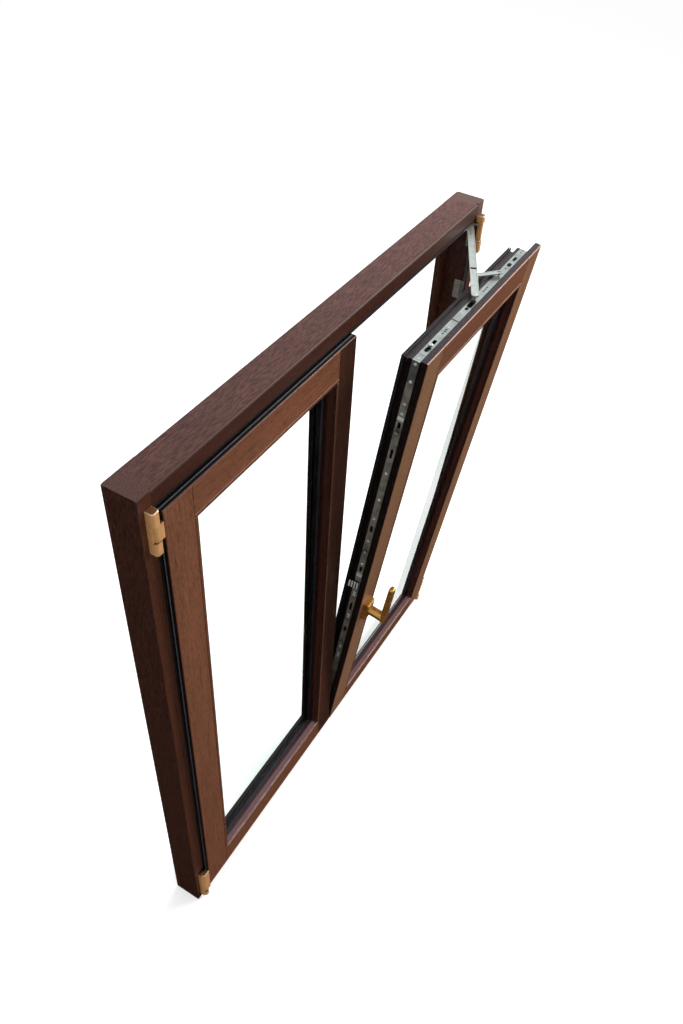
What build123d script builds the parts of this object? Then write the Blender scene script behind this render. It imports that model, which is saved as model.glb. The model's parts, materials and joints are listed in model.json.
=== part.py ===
"""Two-leaf timber window: a fixed-shut left leaf and a tilt and turn right leaf.

Millimetres, +X to the right seen from the room, +Y to the outside, +Z up.
The origin is the middle of the frame's bottom face. The right leaf is drawn shut
and then leans into the room by REST_TILT, the way it stands when tilted.
"""
import os
from math import asin, atan2, cos, degrees, hypot, radians, sin

from build123d import *

# Frame
FRAME_WIDTH = 1200.0
FRAME_HEIGHT = 1400.0
FRAME_DEPTH = 68.0
REVEAL_SIDE = 34.0        # frame face seen beside a leaf
REVEAL_TOP = 38.0
REVEAL_BOTTOM = 43.0
FLANGE_OVERLAP = 13.0     # outer stop behind the leaf
FRAME_ROUND = 6.0

# Leaves
LIP_THICKNESS = 15.0
LIP_OVERLAP = 6.0         # lip in front of the frame's shoulder
LEAF_DEPTH = 66.0
FITTING_REBATE = 18.0     # lip edge to the fitting face
FITTING_FACE = 31.0       # depth of the fitting face
OUTER_REBATE = 10.0       # fitting face to the outer edge
STILE_FACE = 70.0
MEETING_FACE = 58.0
RAIL_FACE = 65.0
LEAF_ROUND = 3.0
RUNNING_GAP = 5.0
MEETING_X = 4.0           # middle of the gap between the leaves

# Glazing
GLASS_STOP = 16.0
PANE = 4.0
GLASS_CAVITY = 16.0
GLASS_INSET = 5.0         # room between the glass edge and the timber
BEAD_WIDTH = 16.0
BEAD_SETBACK = 2.0
BEAD_FLAT = 4.0
BEAD_SLOPE = 11.0
SPACER_WIDTH = 9.0

# Cover strip and gaskets
ASTRAGAL_DEPTH = 13.0
ASTRAGAL_BACK = 24.0      # reach over the left leaf's stile
GASKET_WIDTH = 4.0
GASKET_CLEAR = 0.4
GASKET_INSET = 1.0        # lip edge to the gasket
SEAL_SETBACK = 2.0        # leaf's outer face to the leaf seal
SEAL_WIDTH = 6.0
SEAL_RISE = 5.0
SEAL_GROOVE = 2.0

# Fittings
PLATE_WIDTH = 16.0
PLATE_THICKNESS = 3.0
PLATE_SETBACK = 8.0       # frame front to the plate's near edge
GROOVE_WIDTH = 11.0
GROOVE_DEPTH = 12.0
PLATE_END_GAP = 40.0      # leaf's lower fitting edge to the stile plate
CORNER_LEG = 24.0         # corner drive on the top edge
CORNER_DROP = 54.0        # corner drive on the stile
JOINT_GAP = 1.0
ROD_WIDTH = 8.0
ROD_THICKNESS = 3.0
ROD_CLEAR = 0.5
CAM_RADIUS = 5.0
CAM_STEM_RADIUS = 3.0
CAM_HEAD = 4.0
CAM_RISE = 7.0
LOCK_STROKE = 24.0
CAM_DROP = 184.0          # top plate to the highest cam in the stile
CAM_PITCH = 380.0
CAM_COUNT = 3
TOP_CAM_X = 81.0
TOP_ROD_LENGTH = 32.0
LATCH_DROP = 128.0        # middle cam to the latch
LATCH_LENGTH = 34.0
LATCH_DEPTH = 30.0
LATCH_RISE = 4.5
KEEP_THICKNESS = 3.0
KEEP_LENGTH = 42.0
JAMB_KEEP_DROP = 216.0    # frame top to the keep's middle
JAMB_KEEP_THICKNESS = 5.0

# Hinges
PIN_INSET = 21.0          # frame side to the hinge pin
PIN_FORWARD = 8.5         # frame front to the hinge pin
PIN_RADIUS = 3.0
PIN_CLEAR = 0.05
KNUCKLE_RADIUS = 6.5
CAP_SIDE = 7.0            # hinge pin to a cap's inner side
CAP_FRONT = 7.5           # hinge pin to a cap's front
CAP_CORNER = 5.0
CAP_EDGE = 1.2
SPINE_GAP = 0.5
SPINE_THICKNESS = 2.5
SPINE_PROUD = 1.5         # spine in front of the hinge pin
HINGE_DROP = 28.0         # frame top to the upper hinge
HINGE_LENGTH = 92.0
LUG_LENGTH = 29.0
HINGE_END_GAP = 0.4
CUP_LOW = 10.0
CUP_LENGTH = 21.0
CUP_FLOOR = 4.0
CUP_RADIUS = 7.5
CUP_CHAMFER = 3.0
LOWER_KNUCKLE_LENGTH = 87.0
KNUCKLE_EDGE = 1.0
BALL_RADIUS = 4.5
BALL_CONES = 12           # narrow cones that the ball is turned in
SHANK_RADIUS = 3.0
BALL_RISE = 6.0           # knuckle's lower end to the ball's middle

# Stay
REST_TILT = 6.5
ARM_REACH = 320.0         # hinge pin to the end stud, along the rail
ARM_WIDTH = 16.0
ARM_THICKNESS = 3.0
ARM_RISE = 7.8            # above the top plate when shut
ARM_COVER = 1.4           # arm to the upper cap
ARM_SLOT_LENGTH = 16.0
ARM_SLOT_WIDTH = 3.5
ARM_SLOT_REACH = 14.0     # arm's round end to the slot's middle
ARM_HOLE_RADIUS = 2.0
ARM_HOLE_REACH = 32.0
NECK_WIDTH = 6.0          # leaf that passes between the lip and the frame
NECK_GAP = 2.0
POCKET_CLEAR = 3.0
LINK_LENGTH = 61.0
LINK_WIDTH = 13.0
LINK_THICKNESS = 2.5
LINK_RISE = 0.6           # above the top plate when shut
LINK_FOLD = 150.0         # end stud to the rail stud when shut
LINK_SLIDE = 2.4          # length of the link's eye beyond a round one
LINK_LEAD = 1.5           # degrees that spread the eye's play over the travel
STUD_RADIUS = 2.5
STUD_DROP = 16.0
STUD_PLAY = 2.3
RAIL_STUD_RADIUS = 2.0
RAIL_STUD_PLAY = 2.4
RAIL_STUD_RISE = 7.2

# Handle
HANDLE_DROP = 87.0        # latch to the handle's spindle
ROSE_WIDTH = 34.0
ROSE_HEIGHT = 57.0
ROSE_THICKNESS = 15.0
ROSE_CHAMFER = 3.0
SPINDLE_RADIUS = 7.0
SPINDLE_DEPTH = 7.0       # into the rose
NECK_SIZE = 24.0
NECK_CHAMFER = 7.0
NECK_REACH = 46.0
NECK_CLEAR = 0.3
LEVER_LENGTH = 121.0
LEVER_THICKNESS = 14.0
LEVER_TIP_RADIUS = 9.0
LEVER_CHAMFER = 4.0

# Derived planes
FRONT = -FRAME_DEPTH / 2
BACK = FRAME_DEPTH / 2
SHOULDER = FRONT + RUNNING_GAP
LIP_BACK = FRONT
LEAF_FRONT = LIP_BACK - LIP_THICKNESS
LEAF_BACK = LEAF_FRONT + LEAF_DEPTH
FLANGE_FRONT = LEAF_BACK + RUNNING_GAP
FITTING_END = LIP_BACK + FITTING_FACE
OUTER_EDGE = FITTING_REBATE + OUTER_REBATE
STOP_FRONT = LEAF_BACK - GLASS_STOP
GLASS_FRONT = STOP_FRONT - 2 * PANE - GLASS_CAVITY
PLATE_MIDDLE = FRONT + PLATE_SETBACK + PLATE_WIDTH / 2
LEAF_TOP = FRAME_HEIGHT - REVEAL_TOP
LEAF_BOTTOM = REVEAL_BOTTOM
LEFT_EDGE = -FRAME_WIDTH / 2 + REVEAL_SIDE
RIGHT_EDGE = FRAME_WIDTH / 2 - REVEAL_SIDE
LEFT_LIP = MEETING_X - RUNNING_GAP / 2
RIGHT_LIP = MEETING_X + RUNNING_GAP / 2
LOCK_FACE = RIGHT_LIP + FITTING_REBATE
TOP_FACE = LEAF_TOP - FITTING_REBATE
PIN_X = FRAME_WIDTH / 2 - PIN_INSET
PIN_Y = FRONT - PIN_FORWARD
MEETING_WALL = RIGHT_LIP + LIP_OVERLAP
RAIL_LINE = PLATE_MIDDLE - PIN_Y
ARM_LOW = TOP_FACE + ARM_RISE
LINK_LOW = TOP_FACE + LINK_RISE
NECK_X = RIGHT_EDGE + NECK_GAP + NECK_WIDTH / 2
ARM_START = NECK_X + NECK_WIDTH / 2 - ARM_WIDTH / 2
POCKET_HALF = ARM_WIDTH / 2 + POCKET_CLEAR
CUP_TOP = CUP_LOW + CUP_LENGTH
LOWER_KNUCKLE_LOW = CUP_TOP + RUNNING_GAP
PIVOT_HEIGHT = LOWER_KNUCKLE_LOW + BALL_RISE
STILE_CAM_HEIGHTS = [TOP_FACE - CAM_DROP - CAM_PITCH * step for step in reversed(range(CAM_COUNT))]
LATCH_HEIGHT = STILE_CAM_HEIGHTS[CAM_COUNT // 2] - LATCH_DROP
HANDLE_HEIGHT = LATCH_HEIGHT - HANDLE_DROP

TILT = (
    Location((0, PIN_Y, PIVOT_HEIGHT))
    * Location((0, 0, 0), (REST_TILT, 0, 0))
    * Location((0, -PIN_Y, -PIVOT_HEIGHT))
)

os.makedirs("parts", exist_ok=True)


def publish(solid: Part, name: str, placed: Location = Location()) -> None:
    """Label a finished piece, put it at its rest place and write it."""
    piece = solid.moved(placed)
    piece.label = name
    export_step(piece, f"parts/{name}.step")


def outline(plane: Plane, points: list, rounded: list = (), radius: float = 0.0) -> Sketch:
    """A closed outline on a plane with some of its corners rounded."""
    with BuildSketch(plane) as face:
        with BuildLine():
            Polyline(*points, close=True)
        make_face()
        if rounded:
            fillet([face.vertices().sort_by_distance((*spot, 0))[0] for spot in rounded], radius)
    return face.sketch


def frame_section(reveal: float) -> list:
    """Stepped frame section: distance in from the frame's edge, then depth."""
    face = reveal - RUNNING_GAP
    wall = reveal + LIP_OVERLAP
    flange = reveal + OUTER_EDGE + FLANGE_OVERLAP
    return [
        (0, FRONT), (face, FRONT), (face, SHOULDER), (wall, SHOULDER),
        (wall, FLANGE_FRONT), (flange, FLANGE_FRONT), (flange, BACK), (0, BACK),
    ]


def leaf_section(face: float) -> list:
    """Leaf section: distance in from the lip's edge, then depth."""
    return [
        (0, LEAF_FRONT), (face, LEAF_FRONT), (face, STOP_FRONT), (face + BEAD_WIDTH, STOP_FRONT),
        (face + BEAD_WIDTH, LEAF_BACK), (OUTER_EDGE, LEAF_BACK), (OUTER_EDGE, FITTING_END),
        (FITTING_REBATE, FITTING_END), (FITTING_REBATE, LIP_BACK), (0, LIP_BACK),
    ]


def upright(section: list, edge: float, inward: int, rounded: list, radius: float) -> Sketch:
    """Lay a section out in plan, growing inward from an edge along X."""
    points = [(edge + inward * u, y) for u, y in section]
    return outline(Plane.XY, points, [(edge + inward * u, y) for u, y in rounded], radius)


def level(section: list, edge: float, inward: int, rounded: list, radius: float) -> Sketch:
    """Lay a section out on edge, growing inward from an edge along Z."""
    points = [(y, edge + inward * u) for u, y in section]
    return outline(Plane.YZ, points, [(y, edge + inward * u) for u, y in rounded], radius)


def between(inner: list, left: float, right: float) -> Sketch:
    """The plan of a crosspiece that fills the room between two uprights' inner sides."""
    points = [(left + u, y) for u, y in inner] + [(right - u, y) for u, y in reversed(inner)]
    return outline(Plane.XY, points)


# Frame: uprights run full height, head and sill are scribed between them
FRAME_SIDE = FRAME_WIDTH / 2
FRAME_CORNERS = [(0, FRONT), (0, BACK)]


def jamb(edge: float, inward: int) -> Part:
    """One full-height upright of the frame."""
    section = upright(frame_section(REVEAL_SIDE), edge, inward, FRAME_CORNERS, FRAME_ROUND)
    with BuildPart() as post:
        extrude(section, amount=FRAME_HEIGHT)
    return post.part


def crosspiece(reveal: float, edge: float, inward: int) -> Part:
    """The head or the sill, scribed between the uprights."""
    section = level(frame_section(reveal), edge, inward, FRAME_CORNERS, FRAME_ROUND)
    plan = between(frame_section(REVEAL_SIDE)[1:-1], -FRAME_SIDE, FRAME_SIDE)
    with BuildPart() as bar:
        extrude(section, amount=FRAME_SIDE, both=True)
        extrude(plan, amount=FRAME_HEIGHT, mode=Mode.INTERSECT)
    return bar.part


left_jamb = jamb(-FRAME_SIDE, 1)
plain_right_jamb = jamb(FRAME_SIDE, -1)
head = crosspiece(REVEAL_TOP, FRAME_HEIGHT, -1)
sill = crosspiece(REVEAL_BOTTOM, 0, 1)

# The right upright has a pocket where the stay's neck passes to the hinge
with BuildPart() as stay_pocket:
    with Locations((ARM_START, PLATE_MIDDLE + POCKET_HALF, ARM_LOW + ARM_THICKNESS / 2)):
        Box(
            2 * POCKET_HALF, FRAME_DEPTH, ARM_THICKNESS + 2 * POCKET_CLEAR,
            align=(Align.CENTER, Align.MAX, Align.CENTER),
        )
with BuildPart() as right_jamb:
    add(plain_right_jamb)
    add(stay_pocket.part, mode=Mode.SUBTRACT)

publish(left_jamb, "frame_left_jamb")
publish(right_jamb.part, "frame_right_jamb")
publish(head, "frame_head")
publish(sill, "frame_sill")

# Frame gasket: one strip round the shoulder, standing just short of the lips
with BuildPart() as frame_gasket:
    with BuildSketch(Plane.XZ.offset(-SHOULDER)):
        with Locations((0, (LEAF_TOP + LEAF_BOTTOM) / 2)):
            gasket_edge = Rectangle(
                RIGHT_EDGE - LEFT_EDGE - 2 * GASKET_INSET, LEAF_TOP - LEAF_BOTTOM - 2 * GASKET_INSET
            )
            offset(gasket_edge, -GASKET_WIDTH, mode=Mode.SUBTRACT)
    extrude(amount=RUNNING_GAP - GASKET_CLEAR)
    add(stay_pocket.part, mode=Mode.SUBTRACT)
publish(frame_gasket.part, "frame_gasket")


# Leaves: stiles run full height, rails are scribed between them
LEAF_CORNERS = [(0, LEAF_FRONT)]


def leaf_envelope(left: float, right: float) -> Part:
    """The stepped block that a leaf's top and bottom edges follow."""
    steps = [
        (LEAF_FRONT, 0), (LIP_BACK, 0), (LIP_BACK, FITTING_REBATE), (FITTING_END, FITTING_REBATE),
        (FITTING_END, OUTER_EDGE), (LEAF_BACK, OUTER_EDGE),
    ]
    points = [(y, LEAF_BOTTOM + u) for y, u in steps]
    points += [(y, LEAF_TOP - u) for y, u in reversed(steps)]
    rounded = [(LEAF_FRONT, LEAF_BOTTOM), (LEAF_FRONT, LEAF_TOP)]
    section = outline(Plane.YZ.offset(left), points, rounded, LEAF_ROUND)
    with BuildPart() as block:
        extrude(section, amount=right - left)
    return block.part


LEAF_BLOCK = leaf_envelope(-FRAME_SIDE, FRAME_SIDE)


def stile(section: list, edge: float, inward: int) -> Part:
    """One full-height stile, cut to the leaf's stepped ends."""
    face = upright(section, edge, inward, LEAF_CORNERS, LEAF_ROUND)
    with BuildPart() as post:
        extrude(face, amount=FRAME_HEIGHT)
        add(LEAF_BLOCK, mode=Mode.INTERSECT)
    return post.part


def rail(edge: float, inward: int, left: float, right: float) -> Part:
    """One rail, scribed between the inner sides of the stiles beside it."""
    section = level(leaf_section(RAIL_FACE), edge, inward, LEAF_CORNERS, LEAF_ROUND)
    inner = leaf_section(0)[1:5]
    plan = between(inner, left, right)
    with BuildPart() as bar:
        extrude(section, amount=FRAME_SIDE, both=True)
        extrude(plan, amount=FRAME_HEIGHT, mode=Mode.INTERSECT)
    return bar.part


LEFT_OPENING = (LEFT_EDGE + STILE_FACE, LEFT_LIP - MEETING_FACE)
RIGHT_OPENING = (RIGHT_LIP + STILE_FACE, RIGHT_EDGE - STILE_FACE)
left_hinge_stile = stile(leaf_section(STILE_FACE), LEFT_EDGE, 1)
right_hinge_stile = stile(leaf_section(STILE_FACE), RIGHT_EDGE, -1)
lock_stile = stile(leaf_section(STILE_FACE), RIGHT_LIP, 1)

# The left leaf's meeting stile takes the place of a mullion behind the right leaf's lip
with BuildPart() as meeting_stile:
    with BuildSketch(Plane.XY):
        with BuildLine():
            Polyline(
                (LEFT_LIP, LEAF_FRONT), (LEFT_LIP - MEETING_FACE, LEAF_FRONT),
                (LEFT_LIP - MEETING_FACE, STOP_FRONT),
                (LEFT_LIP - MEETING_FACE - BEAD_WIDTH, STOP_FRONT),
                (LEFT_LIP - MEETING_FACE - BEAD_WIDTH, LEAF_BACK), (MEETING_WALL, LEAF_BACK),
                (MEETING_WALL, SHOULDER), (LEFT_LIP, SHOULDER), close=True,
            )
        make_face()
    extrude(amount=FRAME_HEIGHT)
    add(LEAF_BLOCK, mode=Mode.INTERSECT)

publish(left_hinge_stile, "left_hinge_stile")
publish(meeting_stile.part, "left_meeting_stile")
publish(rail(LEAF_TOP, -1, *LEFT_OPENING), "left_top_rail")
publish(rail(LEAF_BOTTOM, 1, *LEFT_OPENING), "left_bottom_rail")

# Plate groove along the right leaf's top edge and lock edge
TOP_PLATE_LEFT = LOCK_FACE
TOP_PLATE_RIGHT = RIGHT_EDGE - FITTING_REBATE
SIDE_PLATE_LOW = LEAF_BOTTOM + FITTING_REBATE + PLATE_END_GAP
with BuildPart() as plate_groove:
    with Locations(((TOP_PLATE_LEFT + TOP_PLATE_RIGHT) / 2, PLATE_MIDDLE, TOP_FACE)):
        Box(TOP_PLATE_RIGHT - TOP_PLATE_LEFT, PLATE_WIDTH, 2 * PLATE_THICKNESS)
        Box(TOP_PLATE_RIGHT - TOP_PLATE_LEFT, GROOVE_WIDTH, 2 * GROOVE_DEPTH)
    with Locations((LOCK_FACE, PLATE_MIDDLE, (SIDE_PLATE_LOW + TOP_FACE) / 2)):
        Box(2 * PLATE_THICKNESS, PLATE_WIDTH, TOP_FACE - SIDE_PLATE_LOW)
        Box(2 * GROOVE_DEPTH, GROOVE_WIDTH, TOP_FACE - SIDE_PLATE_LOW)

with BuildPart() as right_lock_stile:
    add(lock_stile)
    add(plate_groove.part, mode=Mode.SUBTRACT)
with BuildPart() as right_swing_stile:
    add(right_hinge_stile)
    add(plate_groove.part, mode=Mode.SUBTRACT)
plain_top_rail = rail(LEAF_TOP, -1, *RIGHT_OPENING)
with BuildPart() as right_top_rail:
    add(plain_top_rail)
    add(plate_groove.part, mode=Mode.SUBTRACT)

publish(right_lock_stile.part, "right_lock_stile", TILT)
publish(right_swing_stile.part, "right_hinge_stile", TILT)
publish(right_top_rail.part, "right_top_rail", TILT)
publish(rail(LEAF_BOTTOM, 1, *RIGHT_OPENING), "right_bottom_rail", TILT)


# Glazing, one set for each leaf
def glazing(name: str, left: float, right: float, placed: Location) -> None:
    """Panes, spacer and beads between two face edges along X."""
    low = LEAF_BOTTOM + RAIL_FACE
    high = LEAF_TOP - RAIL_FACE
    middle = ((left + right) / 2, (low + high) / 2)
    glass_width = right - left - 2 * GLASS_INSET
    glass_height = high - low - 2 * GLASS_INSET
    with BuildPart() as panes:
        for y in (GLASS_FRONT, STOP_FRONT - PANE):
            with BuildSketch(Plane.XZ.offset(-y)):
                with Locations(middle):
                    Rectangle(glass_width, glass_height)
            extrude(amount=-PANE)
    with BuildPart() as spacer:
        with BuildSketch(Plane.XZ.offset(-GLASS_FRONT - PANE)):
            with Locations(middle):
                Rectangle(glass_width, glass_height)
                Rectangle(
                    glass_width - 2 * SPACER_WIDTH, glass_height - 2 * SPACER_WIDTH, mode=Mode.SUBTRACT
                )
        extrude(amount=-GLASS_CAVITY)
    front = LEAF_FRONT + BEAD_SETBACK
    section = [
        (0, front), (BEAD_FLAT, front), (BEAD_WIDTH, front + BEAD_SLOPE), (BEAD_WIDTH, GLASS_FRONT),
        (0, GLASS_FRONT),
    ]
    bead_face = outline(Plane.XY.offset(middle[1]), [(left + u, y) for u, y in section])
    with BuildPart() as beads:
        sweep(
            bead_face,
            path=Wire.make_polygon(
                [(left, 0, middle[1]), (left, 0, high), (right, 0, high), (right, 0, low),
                 (left, 0, low)], close=True,
            ),
            transition=Transition.RIGHT,
        )
    publish(panes.part, f"{name}_glass", placed)
    publish(spacer.part, f"{name}_spacer", placed)
    publish(beads.part, f"{name}_beads", placed)


glazing("left", *LEFT_OPENING, Location())
glazing("right", *RIGHT_OPENING, TILT)


# Leaf seals: a grooved strip round each leaf's outer rebate
def leaf_seal(left: float, right: float) -> Part:
    """Seal round the outer rebate between two outer edges along X."""
    low = LEAF_BOTTOM + OUTER_EDGE
    high = LEAF_TOP - OUTER_EDGE
    with BuildPart() as seal:
        for depth, length, mode in (
            (0, SEAL_WIDTH, Mode.ADD), (SEAL_GROOVE, SEAL_GROOVE, Mode.SUBTRACT)
        ):
            with BuildSketch(Plane.XZ.offset(-(LEAF_BACK - SEAL_SETBACK - depth))):
                with Locations(((left + right) / 2, (low + high) / 2)):
                    band = Rectangle(right - left, high - low)
                    offset(band, SEAL_RISE, kind=Kind.INTERSECTION)
                    offset(band, SEAL_RISE - SEAL_GROOVE if depth else 0, mode=Mode.SUBTRACT)
            extrude(amount=length, mode=mode)
    return seal.part


publish(leaf_seal(LEFT_EDGE + OUTER_EDGE, MEETING_WALL), "left_leaf_seal")
publish(leaf_seal(RIGHT_LIP + OUTER_EDGE, RIGHT_EDGE - OUTER_EDGE), "right_leaf_seal", TILT)

# Outer cover strip on the meeting stile, and the gasket in its shoulder
FLANGE_HIGH = FRAME_HEIGHT - REVEAL_TOP - OUTER_EDGE - FLANGE_OVERLAP
FLANGE_LOW = REVEAL_BOTTOM + OUTER_EDGE + FLANGE_OVERLAP
with BuildPart() as astragal:
    with BuildSketch(Plane.XY.offset(FLANGE_LOW + RUNNING_GAP)):
        with BuildLine():
            Polyline(
                (MEETING_WALL - ASTRAGAL_BACK, LEAF_BACK), (MEETING_WALL, LEAF_BACK),
                (MEETING_WALL, FLANGE_FRONT), (RIGHT_LIP + OUTER_EDGE + FLANGE_OVERLAP, FLANGE_FRONT),
                (RIGHT_LIP + OUTER_EDGE + FLANGE_OVERLAP, LEAF_BACK + ASTRAGAL_DEPTH),
                (MEETING_WALL - ASTRAGAL_BACK, LEAF_BACK + ASTRAGAL_DEPTH), close=True,
            )
        make_face()
    extrude(amount=FLANGE_HIGH - FLANGE_LOW - 2 * RUNNING_GAP)
publish(astragal.part, "meeting_astragal")

with BuildPart() as meeting_gasket:
    with BuildSketch(Plane.XY.offset(LEAF_BOTTOM + FITTING_REBATE)):
        with Locations((MEETING_WALL - GASKET_INSET, SHOULDER)):
            Rectangle(GASKET_WIDTH, RUNNING_GAP - GASKET_CLEAR, align=(Align.MAX, Align.MAX))
    extrude(amount=LEAF_TOP - LEAF_BOTTOM - 2 * FITTING_REBATE)
publish(meeting_gasket.part, "meeting_gasket")


# Hinges: a bearing on the frame holds the pin, a knuckle on the leaf turns on it
UPPER_HINGE_TOP = FRAME_HEIGHT - HINGE_DROP
UPPER_HINGE_LOW = UPPER_HINGE_TOP - HINGE_LENGTH
UPPER_SPLIT = UPPER_HINGE_LOW + LUG_LENGTH
LEFT_JOIN = UPPER_HINGE_TOP - LUG_LENGTH
RIGHT_JOIN = ARM_LOW + ARM_THICKNESS + ARM_COVER
SPINE_INNER = KNUCKLE_RADIUS + SPINE_GAP
CAP_OUTER = SPINE_INNER + SPINE_THICKNESS
LOWER_KNUCKLE_TOP = LOWER_KNUCKLE_LOW + LOWER_KNUCKLE_LENGTH


def cap_plan(side: int) -> Sketch:
    """A hinge cap in plan: flat against the frame, round at its two front corners."""
    inner = side * (PIN_X - CAP_SIDE)
    outer = side * (PIN_X + CAP_OUTER)
    front = PIN_Y - CAP_FRONT
    points = [(inner, FRONT), (outer, FRONT), (outer, front), (inner, front)]
    return outline(Plane.XY, points, points[2:], CAP_CORNER)


def spine(side: int, low: float, high: float) -> Part:
    """The wall on the outer side of a knuckle that ties a bearing together."""
    with BuildPart() as wall:
        with Locations((side * (PIN_X + (SPINE_INNER + CAP_OUTER) / 2), FRONT, low)):
            Box(
                SPINE_THICKNESS, FRONT - PIN_Y + SPINE_PROUD, high - low,
                align=(Align.CENTER, Align.MAX, Align.MIN),
            )
    return wall.part


def round_bar(side: int, low: float, high: float, radius: float) -> Part:
    """A round bar on the hinge's axis, for pins and for their bores."""
    with BuildPart() as bar:
        with Locations((side * PIN_X, PIN_Y, low)):
            Cylinder(radius, high - low, align=(Align.CENTER, Align.CENTER, Align.MIN))
    return bar.part


def end_edges(face: Face) -> ShapeList:
    """The edges of an end face that stand clear of the frame."""
    return ShapeList(edge for edge in face.edges() if edge.center().Y < FRONT - CAP_EDGE)


def upper_bearing(side: int, join: float) -> Part:
    """Two caps and a spine, with the pin's blind bore through both caps."""
    plan = cap_plan(side)
    wall = spine(side, UPPER_SPLIT, join)
    bore = round_bar(side, UPPER_HINGE_LOW + CUP_FLOOR, UPPER_HINGE_TOP - CUP_FLOOR, PIN_RADIUS + PIN_CLEAR)
    with BuildPart() as bearing:
        extrude(plan.moved(Location((0, 0, UPPER_HINGE_LOW))), amount=LUG_LENGTH)
        extrude(plan.moved(Location((0, 0, join))), amount=UPPER_HINGE_TOP - join)
        chamfer(end_edges(bearing.faces().sort_by(Axis.Z)[-1]), CAP_EDGE)
        chamfer(end_edges(bearing.faces().sort_by(Axis.Z)[0]), CUP_CHAMFER)
        add(wall)
        add(bore, mode=Mode.SUBTRACT)
    return bearing.part


def upper_pin(side: int) -> Part:
    """Hinge pin closed in between the two caps."""
    low = UPPER_HINGE_LOW + CUP_FLOOR + HINGE_END_GAP
    return round_bar(side, low, UPPER_HINGE_TOP - CUP_FLOOR - HINGE_END_GAP, PIN_RADIUS)


def lower_bearing(side: int, high: float) -> Part:
    """Cup that carries the leaf's weight, with a spine up to a height beside the knuckle."""
    wall = spine(side, CUP_LOW + CUP_CHAMFER, high)
    bore = round_bar(side, CUP_LOW + CUP_FLOOR, CUP_TOP, SHANK_RADIUS + PIN_CLEAR)
    with BuildPart() as bearing:
        with BuildSketch(Plane.XY.offset(CUP_LOW)):
            with Locations((side * PIN_X, PIN_Y)):
                Circle(CUP_RADIUS)
                Rectangle(2 * CUP_RADIUS, FRONT - PIN_Y, align=(Align.CENTER, Align.MIN))
        extrude(amount=CUP_LENGTH)
        chamfer(end_edges(bearing.faces().sort_by(Axis.Z)[0]), CUP_CHAMFER)
        add(wall)
        add(bore, mode=Mode.SUBTRACT)
    return bearing.part


def lower_pin(side: int) -> Part:
    """Pin that stands in the cup, up to the ball's middle."""
    return round_bar(side, CUP_LOW + CUP_FLOOR + HINGE_END_GAP, PIVOT_HEIGHT, SHANK_RADIUS)


def pivot_ball() -> Part:
    """Ball on the lower pin: the leaf turns about it and tilts over it."""
    arc = [-90 + 180 * step / BALL_CONES for step in range(BALL_CONES + 1)]
    points = [(BALL_RADIUS * cos(radians(at)), BALL_RADIUS * sin(radians(at))) for at in arc]
    middle = Plane(origin=(PIN_X, PIN_Y, PIVOT_HEIGHT), x_dir=(1, 0, 0), z_dir=(0, -1, 0))
    profile = outline(middle, points)
    with BuildPart() as ball:
        revolve(profile, axis=Axis((PIN_X, PIN_Y, PIVOT_HEIGHT), (0, 0, 1)))
    return ball.part


def leaf_knuckle(side: int, low: float, high: float) -> Part:
    """A knuckle that stands beside the leaf's lip, flat against its edge."""
    x = side * PIN_X
    edge = side * RIGHT_EDGE
    with BuildSketch(Plane.XY.offset(low)) as lug:
        with Locations((x, PIN_Y)):
            Circle(KNUCKLE_RADIUS)
        with Locations(((x + edge) / 2, PIN_Y - KNUCKLE_RADIUS)):
            depth = KNUCKLE_RADIUS + LIP_BACK - RUNNING_GAP - PIN_Y
            Rectangle(abs(x - edge), depth, align=(Align.CENTER, Align.MIN))
    with BuildPart() as knuckle:
        extrude(lug.sketch, amount=high - low)
    return knuckle.part


def lower_knuckle(side: int) -> Part:
    """The leaf's lower knuckle, bored from below for the ball."""
    body = leaf_knuckle(side, LOWER_KNUCKLE_LOW, LOWER_KNUCKLE_TOP)
    socket = round_bar(side, LOWER_KNUCKLE_LOW, PIVOT_HEIGHT + 2 * BALL_RADIUS, BALL_RADIUS + PIN_CLEAR)
    with BuildPart() as knuckle:
        add(body)
        chamfer(end_edges(knuckle.faces().sort_by(Axis.Z)[-1]), KNUCKLE_EDGE)
        add(socket, mode=Mode.SUBTRACT)
    return knuckle.part


def upper_knuckle(side: int, join: float) -> Part:
    """The middle knuckle of an upper hinge, fixed to the leaf's lip."""
    body = leaf_knuckle(side, UPPER_SPLIT + HINGE_END_GAP, join - HINGE_END_GAP)
    bore = round_bar(side, UPPER_SPLIT, join, PIN_RADIUS + PIN_CLEAR)
    with BuildPart() as knuckle:
        add(body)
        add(bore, mode=Mode.SUBTRACT)
    return knuckle.part


left_pin_pieces = (upper_pin(-1), lower_pin(-1))
with BuildPart() as left_hinge_pins:
    add(left_pin_pieces)
right_pin_pieces = (upper_pin(1), lower_pin(1), pivot_ball())
with BuildPart() as right_hinge_pins:
    add(right_pin_pieces)

publish(upper_bearing(-1, LEFT_JOIN), "left_upper_hinge_bearing")
publish(upper_bearing(1, RIGHT_JOIN), "right_upper_hinge_bearing")
publish(lower_bearing(-1, LOWER_KNUCKLE_TOP + CAP_EDGE), "left_lower_hinge_bearing")
publish(lower_bearing(1, PIVOT_HEIGHT), "right_lower_hinge_bearing")
publish(upper_knuckle(-1, LEFT_JOIN), "left_upper_hinge_knuckle")
publish(lower_knuckle(-1), "left_lower_hinge_knuckle")
publish(lower_knuckle(1), "right_lower_hinge_knuckle", TILT)
publish(left_hinge_pins.part, "left_hinge_pins")
publish(right_hinge_pins.part, "right_hinge_pins")

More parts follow.
